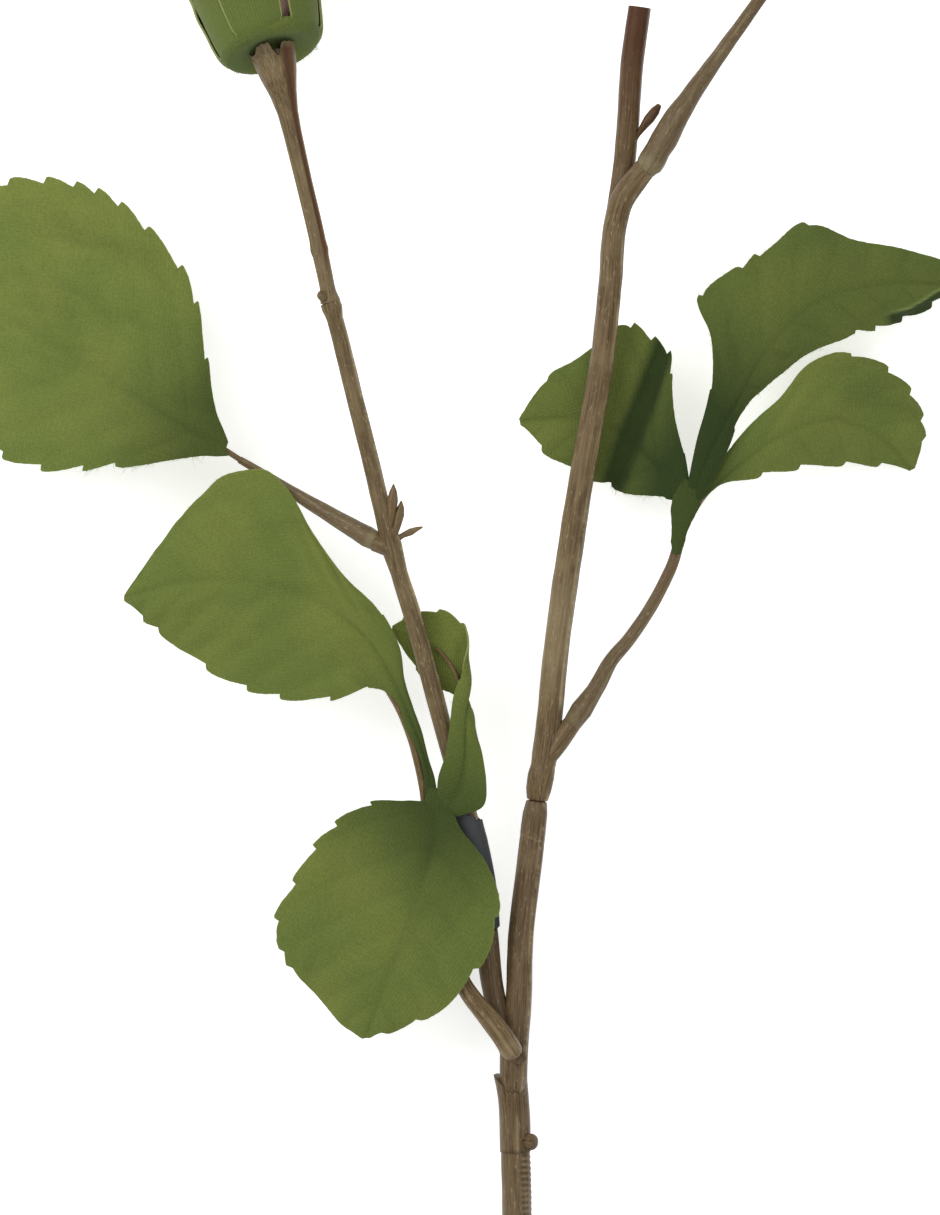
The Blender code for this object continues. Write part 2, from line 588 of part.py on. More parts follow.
def peg_hole(route):
    """The hole, a gap wider and deeper, that takes the peg at the end of a pegged route."""
    shoulder, tip = np.array(route[-2], float), np.array(route[-1], float)
    forward = unit(tip[:3] - shoulder[:3])
    start, end = shoulder[:3] - forward, tip[:3] + forward * GAP
    return tube([(*start, shoulder[3] + GAP), (*end, tip[3] + GAP)], spacing=PEG_LENGTH * 2, ridge=0.0)


def small_tube(route):
    """A short round tube with no ridges."""
    return tube(route, sides=8, spacing=4.0, ridge=0.0)


def add_stem_lower(fork):
    """The main stem: its top is a socket, open in front, for the tongue of the forked piece."""
    body = fused("stem_lower", [tube(STEM_LOWER), small_tube(MOULD_NUB)], PLASTIC_BROWN, fork)
    tongue = [(x, y, z, radius + GAP) for x, y, z, radius in [TONGUE_TIP] + FORK_RIGHT[:4]]
    smoothed(drilled(body, [tube(tongue)]))


def add_stem_fork(fork):
    """The forked piece: a tongue, a right arm, a short left socket and the boss for stalk C."""
    shapes = [tube(FORK_RIGHT), tube(FORK_LEFT), small_tube(pegged(FORK_BOSS))]
    body = fused("stem_fork", shapes, PLASTIC_BROWN, fork)
    smoothed(drilled(body, [peg_hole(pegged(STEM_LEFT[::-1])), peg_hole(pegged(STEM_RIGHT[::-1]))]))


def add_stem_right(fork):
    """The right stem, from its bead to its bent end, with the stub, the side bud and the boss for stalk F."""
    shapes = [tube(footed(pegged(STEM_RIGHT))), tube(pegged(STEM_RIGHT_BOSS)), tube(STUB)]
    shapes.append(small_tube(SIDE_BUD))
    smoothed(fused("stem_right", shapes, PLASTIC_BROWN, fork))


def add_stem_left(fork):
    """The left stem, from its socket to the ring joint, with bud scales and the boss for stalk A."""
    shapes = [tube(footed(STEM_LEFT)), tube(pegged(STEM_LEFT_BOSS))]
    shapes += [small_tube(scale) for scale in BUD_SCALES]
    body = fused("stem_left", shapes, PLASTIC_BROWN, fork)
    smoothed(drilled(body, [peg_hole(pegged(NECK[::-1]))]))


def add_stem_neck(fork):
    """The upper left stem, which opens into a ragged funnel with a recess for the calyx."""
    rings = rings_along(footed(NECK), ridge=0.0)
    rim = rings[-1]
    middle = rim.mean(axis=0)
    forward = unit(middle - rings[-2].mean(axis=0))
    tips = rim + np.array(FUNNEL_TIPS)[:, None] * forward
    tips += (rim - middle) * np.array(FUNNEL_TIPS)[:, None] * FUNNEL_FLARE
    inside = tips - (rim - middle) * FUNNEL_WALL_SHARE
    floor = middle + (rim - middle) * FUNNEL_FLOOR_SHARE - forward * FUNNEL_DEPTH
    smoothed(add("stem_neck", skin(rings + [tips, inside, floor]), PLASTIC_BROWN, fork))


def add_sleeve(fork):
    """The dark sleeve, a thin open tube round the left stem, its top cut at a slant."""
    walls = []
    for radius in (SLEEVE_OUTER, SLEEVE_INNER):
        rings = rings_along([(*place, radius) for place in SLEEVE], ridge=0.0)
        forward = unit(rings[-1].mean(axis=0) - rings[-2].mean(axis=0))
        angles = 2 * math.pi * np.arange(len(rings[-1])) / len(rings[-1])
        rings[-1] -= SLEEVE_SLANT * (0.5 + 0.5 * np.cos(angles))[:, None] * forward
        walls.append(rings)
    outer, inner = walls
    smoothed(add("sleeve", skin(outer + inner[::-1], ring_shaped=True), SLEEVE_SLATE, fork))


class Lobe:
    """One serrated lobe of fabric: its grid of points and the route of the rib under it."""

    def __init__(self, middle, left, right, teeth, strip, rib):
        rows = 2 * teeth + 1
        self.middle = along(middle, count=rows)
        sideways = unit(np.subtract(right[-1], left[-1])) * TIP_HALF
        left = along(list(left) + [tuple(self.middle[-1] - sideways)], count=rows)
        right = along(list(right) + [tuple(self.middle[-1] + sideways)], count=rows)
        self.normals = unit(np.cross(right - left, np.gradient(self.middle, axis=0)))
        columns = [self.between(left, 1.0), self.between(left, 0.5), self.middle]
        columns += [self.between(right, 0.5), self.between(right, 1.0)]
        self.grid = np.stack(columns, axis=1)
        self.cut_teeth(int(strip * rows))
        self.grid[:, :, 2] = np.maximum(self.grid[:, :, 2], HALF_SHEET)
        self.rib_rows = int(rib * rows)

    def between(self, edge, share):
        """A line a share of the way from the middle to an edge, raised in an arch on the way."""
        reach = edge - self.middle
        arch = np.minimum(LOBE_ARCH, ARCH_SHARE * np.linalg.norm(reach, axis=1)) * 4 * share * (1 - share)
        return self.middle + share * reach + arch[:, None] * self.normals

    def cut_teeth(self, first):
        """Sets the points of both edges out and in by turns, past the plain strip."""
        forward = unit(np.gradient(self.middle, axis=0))
        for edge, inner in ((0, 1), (-1, -2)):
            outward = unit(self.grid[:, edge] - self.grid[:, inner])
            for row in range(first, len(self.grid) - 2):
                push = outward[row] + 0.5 * forward[row] if row % 2 else -outward[row]
                self.grid[row, edge] += 0.5 * TOOTH_DEPTH * push

    def rib(self, root, dip, lead=()):
        """A tapering tube from the stalk's end, along its lead and on under the lobe's middle.

        dip lowers its first stretch under the lobe.
        """
        share = np.linspace(0.0, 1.0, self.rib_rows)
        fade = np.clip(1 - share / RIB_FADE, 0.0, 1.0)
        depth = (RIB_DEPTH + dip * fade)[:, None] * self.normals[: self.rib_rows]
        points = self.middle[: self.rib_rows] - depth
        radii = RIB_RADIUS + (RIB_END_RADIUS - RIB_RADIUS) * share
        first = self.rib_rows // 2 + 3 if lead else 2
        under = [(*point, radius) for point, radius in zip(points[first::3], radii[first::3])]
        return tube([root, *lead, *under], sides=6, spacing=12.0, ridge=0.0)


def knot(points):
    """The thicker patch of fabric where the lobes of a leaf meet."""
    points = np.array(points, float)
    centres, widths, halves = points[:, :3], points[:, 3], points[:, 4]
    forward = unit(np.gradient(centres, axis=0))
    sideways = unit(np.cross(forward, (0.0, 0.0, 1.0))) * widths[:, None]
    return blade(np.stack([centres - sideways, centres, centres + sideways], axis=1), halves)


def add_sprig(letter, fork, stalk, boss, lobes, joint=None):
    """A stalk with a rib under each lobe, and the leaf that it carries.

    Each lobe comes with the dip of its rib and, for one, the rib's lead.
    """
    made = [(Lobe(**outline), *rib) for outline, *rib in lobes]
    before, end = stalk[-2:]
    root = tuple(0.4 * a + 0.6 * b for a, b in zip(before, end))
    root = (*root[:3], RIB_RADIUS)
    ribs = [lobe.rib(root, *rib) for lobe, *rib in made]
    body = fused(f"stalk_{letter}", [tube(stalk, ridge=0.0)] + ribs, PLASTIC_STALK, fork)
    smoothed(drilled(body, [peg_hole(pegged(boss))]))
    sheets = [blade(lobe.grid) for lobe, *_ in made] + ([knot(joint)] if joint else [])
    smoothed(fused(f"leaf_{letter}", sheets, LEAF_GREEN, fork))


class Bloom:
    """The flower's own frame: heights along its axis, radii and angles round it."""

    def __init__(self):
        self.foot = np.array(BLOOM_FOOT)
        self.axis = unit(np.array(BLOOM_AXIS))
        self.front = unit(np.array((0.0, 0.0, 1.0)) - self.axis[2] * self.axis)
        self.side = np.cross(self.axis, self.front)

    def outward(self, angle):
        """The direction away from the axis at an angle."""
        return math.cos(angle) * self.side + math.sin(angle) * self.front

    def ring(self, height, radius, sides):
        """A ring of points round the axis."""
        angles = [2 * math.pi * i / sides for i in range(sides)]
        return np.array([self.foot + height * self.axis + radius * self.outward(angle) for angle in angles])

    def petal(self, angle, path, cup, level=0.0, step=0.0):
        """The grid of a cupped blade along a path of (height, radius, width).

        cup is the largest radius that it curls to, level is the height that it is pressed flat to,
        and step moves it out from the axis.
        """
        stations = along(path, spacing=15.0, axes=2)
        heights, radii, widths = stations.T
        radii = radii + step
        rise, spread = unit(np.gradient(stations[:, :2], axis=0)).T
        outward, sideways = self.outward(angle), self.outward(angle + math.pi / 2)
        cup = np.clip(radii, SMALLEST_CUP, cup)
        columns = []
        for share in (-1.0, 0.0, 1.0):
            turn = share * widths / 2 / cup
            lift = cup * (1 - np.cos(turn))
            height, radius = heights + lift * spread, radii - lift * rise
            columns.append(
                self.foot
                + height[:, None] * self.axis
                + radius[:, None] * outward
                + (cup * np.sin(turn))[:, None] * sideways
            )
        grid = np.stack(columns, axis=1)
        grid[:, :, 2] = np.maximum(grid[:, :, 2], level)
        return grid


def add_calyx(fork, bloom):
    """The fabric cup under the bloom: a dish with overlapping sepals and a peg down into the funnel."""
    rings = [bloom.ring(height, radius, 18) for height, radius in CALYX_DISH + CALYX_DISH_INSIDE]
    sheets = [skin(rings)]
    for i in range(SEPALS):
        step = SEPAL_STEP if i % 2 else -SEPAL_STEP
        angle = math.radians(FRONT_SEPAL_ANGLE) + 2 * math.pi * i / SEPALS
        sheets.append(blade(bloom.petal(angle, SEPAL_PATH, LARGEST_SEPAL_CUP, step=step)))
    smoothed(fused("calyx", sheets, SEPAL_GREEN, fork))


def spiral_petal_path(share):
    """The path of a petal of the spiral, from the outermost, share 0, to the heart, share 1."""
    root_height = SPIRAL_ROOT_FROM + (SPIRAL_ROOT_TO - SPIRAL_ROOT_FROM) * share
    heights, radii = np.array(CORE).T
    root_radius = max(np.interp(root_height, heights, radii) - ROOT_SUNK, 0.3)
    lean = math.radians(14 + 73 * share**0.85)
    tip_height = DOME_MIDDLE + DOME_HEIGHT * math.sin(lean)
    tip_radius = DOME_RADIUS * math.cos(lean)
    root, tip = np.array((root_height, root_radius)), np.array((tip_height, tip_radius))
    chord = tip - root
    outward = unit(np.array((-chord[1], chord[0]))) * (1.0 + 7.0 * share * (1 - share))
    places = (root, root + 0.33 * chord + outward, root + 0.72 * chord + 0.8 * outward, tip)
    width = 15.0 - 9.0 * share
    return [(*place, width * part) for place, part in zip(places, (0.45, 0.8, 1.0, 0.1))]


def add_petals(fork, bloom):
    """The petals: an outer ring that rises inside the calyx, and a spiral on a small core."""
    sheets = [skin([bloom.ring(height, radius, 12) for height, radius in CORE])]
    for i in range(OUTER_PETALS):
        angle = 2 * math.pi * i / OUTER_PETALS - math.pi / 2
        step = OUTER_STEP if i % 2 else -OUTER_STEP
        level = HALF_SHEET + (PRESS_STEP * (1 + i % 3) if i else 0.0)
        sheets.append(blade(bloom.petal(angle, OUTER_PATH, LARGEST_CUP, level, step), level=level))
    for i in range(SPIRAL_PETALS):
        path = spiral_petal_path(i / (SPIRAL_PETALS - 1))
        level = HALF_SHEET + SPIRAL_LEVEL + PRESS_STEP * (i % 5)
        sheets.append(blade(bloom.petal(i * GOLDEN_TURN, path, LARGEST_CUP, level), level=level))
    smoothed(fused("petals", sheets, PETAL_PINK, fork, PETAL_SOLVER))


def main():
    """Builds the spray."""
    clear_scene()
    fork = bpy.data.objects.new("fork", None)
    fork.location = (FORK_X * MM, FORK_Y * MM, 0.0)
    bpy.context.scene.collection.objects.link(fork)
    bpy.context.view_layer.update()
    add_stem_lower(fork)
    add_stem_fork(fork)
    add_stem_right(fork)
    add_stem_left(fork)
    add_stem_neck(fork)
    add_sleeve(fork)
    add_sprig("a", fork, STALK_A, STEM_LEFT_BOSS, [(LOBE_A, 0.6)])
    lobes = [(LOBE_C_LONG, 0.6, RIB_C_LEAD), (LOBE_C_ROUND, 1.2), (LOBE_C_TWISTED, 0.1)]
    add_sprig("c", fork, STALK_C, FORK_BOSS, lobes, KNOT_C)
    lobes = [(LOBE_F_LOW, 1.3), (LOBE_F_HIGH, 1.9), (LOBE_F_RIGHT, 1.65)]
    add_sprig("f", fork, STALK_F, STEM_RIGHT_BOSS, lobes, KNOT_F)
    lobes = [(LOBE_G_LEFT, 1.2), (LOBE_G_HIGH, 1.2), (LOBE_G_RIGHT, 1.2)]
    add_sprig("g", fork, STALK_G, STEM_RIGHT, lobes, KNOT_G)
    bloom = Bloom()
    add_calyx(fork, bloom)
    add_petals(fork, bloom)


main()
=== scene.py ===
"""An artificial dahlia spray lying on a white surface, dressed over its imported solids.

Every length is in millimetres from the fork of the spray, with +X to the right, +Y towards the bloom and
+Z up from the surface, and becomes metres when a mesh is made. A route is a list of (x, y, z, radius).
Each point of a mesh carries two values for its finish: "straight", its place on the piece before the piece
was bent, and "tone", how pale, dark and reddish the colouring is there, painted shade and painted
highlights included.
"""

import logging
import math
import random
from dataclasses import dataclass, field, replace
from enum import Enum
from typing import Callable, Iterable, Optional, Sequence

import bpy
import numpy as np
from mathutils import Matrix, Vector, noise


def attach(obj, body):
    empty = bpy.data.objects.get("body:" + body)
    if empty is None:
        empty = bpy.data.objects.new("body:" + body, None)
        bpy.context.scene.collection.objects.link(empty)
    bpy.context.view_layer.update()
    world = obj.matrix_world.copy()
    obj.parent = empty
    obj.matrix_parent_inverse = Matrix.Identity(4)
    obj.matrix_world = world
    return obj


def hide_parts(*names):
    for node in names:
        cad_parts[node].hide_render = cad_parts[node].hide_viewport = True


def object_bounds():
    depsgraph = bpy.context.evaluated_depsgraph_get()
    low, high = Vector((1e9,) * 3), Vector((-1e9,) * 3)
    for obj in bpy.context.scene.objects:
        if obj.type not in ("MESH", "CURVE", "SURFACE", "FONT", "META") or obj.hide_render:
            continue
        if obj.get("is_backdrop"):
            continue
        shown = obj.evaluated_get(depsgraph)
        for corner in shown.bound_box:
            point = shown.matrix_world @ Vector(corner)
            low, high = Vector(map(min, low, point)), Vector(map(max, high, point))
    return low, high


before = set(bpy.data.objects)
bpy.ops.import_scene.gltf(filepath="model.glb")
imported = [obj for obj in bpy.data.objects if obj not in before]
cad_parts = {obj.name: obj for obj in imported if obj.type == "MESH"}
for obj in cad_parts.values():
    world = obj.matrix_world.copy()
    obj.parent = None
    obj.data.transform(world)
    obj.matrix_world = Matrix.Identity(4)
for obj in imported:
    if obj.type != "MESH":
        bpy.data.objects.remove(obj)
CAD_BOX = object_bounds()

LOG = logging.getLogger("dahlia_spray")
MM = 0.001
FORK = np.array((7.6, -23.7, 0.0))
UP = np.array((0.0, 0.0, 1.0))
# Angles in degrees above which an edge is shaded sharp, on mouldings and on cloth
HARD_EDGE, CLOTH_EDGE = 38.0, 50.0

Point = tuple[float, ...]
Route = Sequence[Point]
Shares = Callable[[np.ndarray], np.ndarray]


class Slot(Enum):
    """The record's material slots."""

    STEM = "brown_plastic"
    STALK = "stalk_plastic"
    SLEEVE = "slate_sleeve"
    LEAF = "leaf_fabric"
    SEPAL = "sepal_fabric"
    PETAL = "petal_fabric"


class Side(Enum):
    """The two cut edges of a lobe, seen from its foot."""

    LEFT = -1
    RIGHT = 1


def linear(colour: str) -> tuple[float, float, float, float]:
    """Turns an sRGB hex colour into the linear one that a shader takes.

    Args:
        colour: six hex digits after a #.

    Returns:
        Red, green, blue and an alpha of one.
    """
    values = [int(colour[i : i + 2], 16) / 255 for i in (1, 3, 5)]
    parts = [v / 12.92 if v <= 0.04045 else ((v + 0.055) / 1.055) ** 2.4 for v in values]
    return (parts[0], parts[1], parts[2], 1.0)


def unit(vectors: np.ndarray) -> np.ndarray:
    """Brings vectors to length one along their last axis."""
    return vectors / np.maximum(np.linalg.norm(vectors, axis=-1, keepdims=True), 1e-9)


def distances(places: np.ndarray) -> np.ndarray:
    """How far along a row of places each one is, from 0."""
    return np.concatenate([[0.0], np.cumsum(np.linalg.norm(np.diff(places, axis=0), axis=1))])


def full_turn(sides: int) -> np.ndarray:
    """Even angles in radians once round, the first of them 0."""
    return 2 * math.pi * np.arange(sides) / sides


def edge_shares(count: int) -> np.ndarray:
    """Places across a strip, from -1 to 1, closer together near its edges."""
    return np.sin(np.linspace(-1, 1, count) * math.pi / 2)


def facing(grid: np.ndarray) -> np.ndarray:
    """The direction of a grid's upper face at each of its points."""
    return unit(np.cross(np.gradient(grid, axis=1), np.gradient(grid, axis=0)))


def bump(offsets: np.ndarray, half: float | np.ndarray) -> np.ndarray:
    """A soft bump: 1 at an offset of 0, and about a third at its half width."""
    return np.exp(-((offsets / half) ** 2))


def ease(values: np.ndarray, low: float, high: float) -> np.ndarray:
    """A smooth step.

    Args:
        values: where it is wanted.
        low: the value up to which it is 0.
        high: the value from which it is 1.

    Returns:
        One number for each value.
    """
    t = np.clip((values - low) / (high - low), 0.0, 1.0)
    return t * t * (3 - 2 * t)


def within(values: np.ndarray, low: float, high: float, rise: float, fall: float) -> np.ndarray:
    """A stretch with soft ends.

    Args:
        values: where it is wanted.
        low: the value at which it starts.
        high: the value at which it ends.
        rise: how long its first end takes to rise to 1.
        fall: how long its last end takes to fall to 0.

    Returns:
        One number for each value.
    """
    return ease(values, low, low + rise) * (1 - ease(values, high - fall, high))


def unevenness(places: np.ndarray, scale: Point, seed: float) -> np.ndarray:
    """Smooth chance variation between about -1 and 1.

    Args:
        places: an array of places, with three numbers along its last axis.
        scale: how fast it changes along each axis.
        seed: picks the pattern.

    Returns:
        One number for each place.
    """
    flat = (np.asarray(places, float) * scale + seed).reshape(-1, 3)
    values = np.array([noise.noise(Vector(place)) for place in flat])
    return values.reshape(places.shape[:-1])


def along(points: Route, count: int = 0, spacing: float = 1.0, axes: int = 3) -> np.ndarray:
    """A smooth curve through points.

    Args:
        points: the points; what stands after the axes, such as a radius, changes evenly between them.
        count: the number of even steps, or 0 to use the spacing.
        spacing: the distance between steps, which also fall on each point.
        axes: how many numbers of a point are its place.

    Returns:
        One row for each step.
    """
    rows = np.array(points, float)
    places, rest = rows[:, :axes], rows[:, axes:]
    spans = np.linalg.norm(np.diff(places, axis=0), axis=1)
    slopes = np.diff(places, axis=0) / spans[:, None]
    inner = slopes[:-1] * spans[1:, None] + slopes[1:] * spans[:-1, None]
    inner /= (spans[:-1] + spans[1:])[:, None]
    tangents = np.vstack([slopes[:1], inner, slopes[-1:]])
    ends = np.concatenate([[0.0], np.cumsum(spans)])
    if count:
        at = np.linspace(0.0, ends[-1], count)
    else:
        counts = [max(1, round((b - a) / spacing)) for a, b in zip(ends, ends[1:])]
        steps = [np.linspace(a, b, n + 1)[:-1] for a, b, n in zip(ends, ends[1:], counts)]
        at = np.append(np.concatenate(steps), ends[-1])
    span = np.clip(np.searchsorted(ends, at, side="right") - 1, 0, len(spans) - 1)
    length = spans[span][:, None]
    t = ((at - ends[span]) / spans[span])[:, None]
    curve = (1 + 2 * t) * (1 - t) ** 2 * places[span] + t * t * (3 - 2 * t) * places[span + 1]
    curve += length * (t * (1 - t) ** 2 * tangents[span] + t * t * (t - 1) * tangents[span + 1])
    return np.hstack([curve, (1 - t) * rest[span] + t * rest[span + 1]])


@dataclass
class Form:
    """A mesh in the making.

    Attributes:
        points: places in millimetres from the fork.
        faces: corners of each face.
        straight: each point's place on the piece before it was bent.
        tone: how pale, dark and reddish each point is.
    """

    points: np.ndarray
    faces: list[tuple[int, ...]]
    straight: np.ndarray
    tone: np.ndarray

    @staticmethod
    def merged(forms: Iterable["Form"]) -> "Form":
        """Puts several forms into one.

        Args:
            forms: the forms, in the order in which their points are wanted.

        Returns:
            The one form.
        """
        forms = list(forms)
        faces, start = [], 0
        for form in forms:
            faces += [tuple(start + k for k in face) for face in form.faces]
            start += len(form.points)
        return Form(
            np.concatenate([form.points for form in forms]),
            faces,
            np.concatenate([form.straight for form in forms]),
            np.concatenate([form.tone for form in forms]),
        )


def ring_faces(rings: int, sides: int, closed: bool = False, ends: bool = False) -> list[tuple[int, ...]]:
    """Quads between rings of points in turn.

    Args:
        rings: how many rings.
        sides: the points of each ring.
        closed: whether the last ring joins the first.
        ends: whether one face fills the first ring and another the last.

    Returns:
        The corners of each face.
    """
    faces = []
    for i in range(rings if closed else rings - 1):
        a, b = i * sides, ((i + 1) % rings) * sides
        faces += [(a + j, b + j, b + (j + 1) % sides, a + (j + 1) % sides) for j in range(sides)]
    if ends:
        faces.append(tuple(range(sides)))
        faces.append(tuple(reversed(range((rings - 1) * sides, rings * sides))))
    return faces


def add_node(
    tree: bpy.types.NodeTree, kind: str, inputs: Optional[dict] = None, **settings: object
) -> bpy.types.Node:
    """Adds a node.

    Args:
        tree: the node tree.
        kind: Blender's name for the node type.
        inputs: for a socket's name or number, a value or the output socket that feeds it.
        settings: values of the node's own attributes.

    Returns:
        The new node.
    """
    node = tree.nodes.new(kind)
    for name, value in settings.items():
        setattr(node, name, value)
    for key, value in (inputs or {}).items():
        if isinstance(value, bpy.types.NodeSocket):
            tree.links.new(value, node.inputs[key])
        else:
            node.inputs[key].default_value = value
    return node


class Finish:
    """What every finish shares: a material made once, from the nodes that the finish adds."""

    name: str

    def material(self) -> bpy.types.Material:
        """Makes the finish's material, or finds the one that was made before.

        Returns:
            The material.
        """
        made = bpy.data.materials.get(self.name)
        if made is None:
            made = bpy.data.materials.new(self.name)
            made.use_nodes = True
            self.dress(made.node_tree, made.node_tree.nodes["Principled BSDF"])
        return made

    def dress(self, tree: bpy.types.NodeTree, shader: bpy.types.Node) -> None:
        """Adds the finish's own nodes.

        Args:
            tree: the material's node tree.
            shader: its main shader.
        """
        raise NotImplementedError


@dataclass(frozen=True)
class MouldedPlastic(Finish):
    """Polyethylene, injection moulded and wiped with thin brown paint.

    The tool leaves grooves along the stem and a pale parting line. The paint pools in the grooves and wears
    off the ridges, so the colour runs in streaks. The wall keeps a waxy half gloss that sparkles on edges.
    Painted glints dot the parting line, and painted shade darkens the sides, the underside and open rims.

    Attributes:
        name: the material's name.
        base: the paint's colour.
        deep: its colour where it pooled.
        worn: its colour where it is worn.
        pale: the bare plastic, also laid for painted glints and painted glare.
        red: the redder paint near the leaves and buds.
        roughness: how rough the wall is.
    """

    name: str
    base: str
    deep: str
    worn: str
    pale: str
    red: str
    roughness: float = 0.36

    def dress(self, tree: bpy.types.NodeTree, shader: bpy.types.Node) -> None:
        """Adds the streaked paint, its scuffs and the fine grooves.

        Args:
            tree: the material's node tree.
            shader: its main shader.
        """
        place = add_node(tree, "ShaderNodeAttribute", attribute_name="straight").outputs["Vector"]
        tone = add_node(tree, "ShaderNodeAttribute", attribute_name="tone").outputs["Vector"]
        tones = add_node(tree, "ShaderNodeSeparateXYZ", {"Vector": tone}).outputs
        # Sizes in millimetres, across and along, and detail: streaks of paint, worn patches, scuffs at their
        # real quarter of a millimetre, and the grain of the tool's wall
        sizes = ((0.36, 9.0, 3.0), (6.0, 9.0, 2.0), (0.3, 1.4, 1.0), (0.3, 2.4, 3.0))
        chances = []
        for wide, long, detail in sizes:
            inputs = {"Vector": place, "Scale": (1.0 / wide, 1.0 / wide, 1.0 / long)}
            spread = add_node(tree, "ShaderNodeMapping", inputs).outputs[0]
            inputs = {"Vector": spread, "Scale": 1.0, "Detail": detail}
            chances.append(add_node(tree, "ShaderNodeTexNoise", inputs).outputs[0])
        streaks, patches, flecks, grain = chances
        # Each paint: where it lies, that value where there is none and where it is full, its greatest share
        layers = (
            (streaks, 0.32, 0.68, 1.0, self.base),
            (patches, 0.45, 0.75, 0.5, self.worn),
            (flecks, 0.62, 0.76, 0.5, self.pale),
            (tones["Z"], 0.0, 1.0, 0.85, self.red),
            # Tone X lays the bare plastic and painted glints and glare; tone Y lays near black for paint
            # pooled in grooves and for painted shade
            (tones["X"], 0.0, 1.0, 1.0, self.pale),
            (tones["Y"], 0.0, 1.0, 1.0, "#1d150f"),
        )
        colour = linear(self.deep)
        for value, low, high, share, paint in layers:
            limits = {"Value": value, "From Min": low, "From Max": high, "To Max": share}
            amount = add_node(tree, "ShaderNodeMapRange", limits).outputs[0]
            inputs = {0: amount, 6: colour, 7: linear(paint)}
            colour = add_node(tree, "ShaderNodeMix", inputs, data_type="RGBA").outputs[2]
        tree.links.new(colour, shader.inputs["Base Color"])
        limits = {"Value": patches, "To Min": self.roughness - 0.08, "To Max": self.roughness + 0.14}
        rough = add_node(tree, "ShaderNodeMapRange", limits).outputs[0]
        tree.links.new(rough, shader.inputs["Roughness"])
        relief = add_node(tree, "ShaderNodeBump", {"Strength": 0.7, "Distance": 0.00014, "Height": grain})
        tree.links.new(relief.outputs[0], shader.inputs["Normal"])
        shader.inputs["IOR"].default_value = 1.5
        shader.inputs["Specular IOR Level"].default_value = 0.2


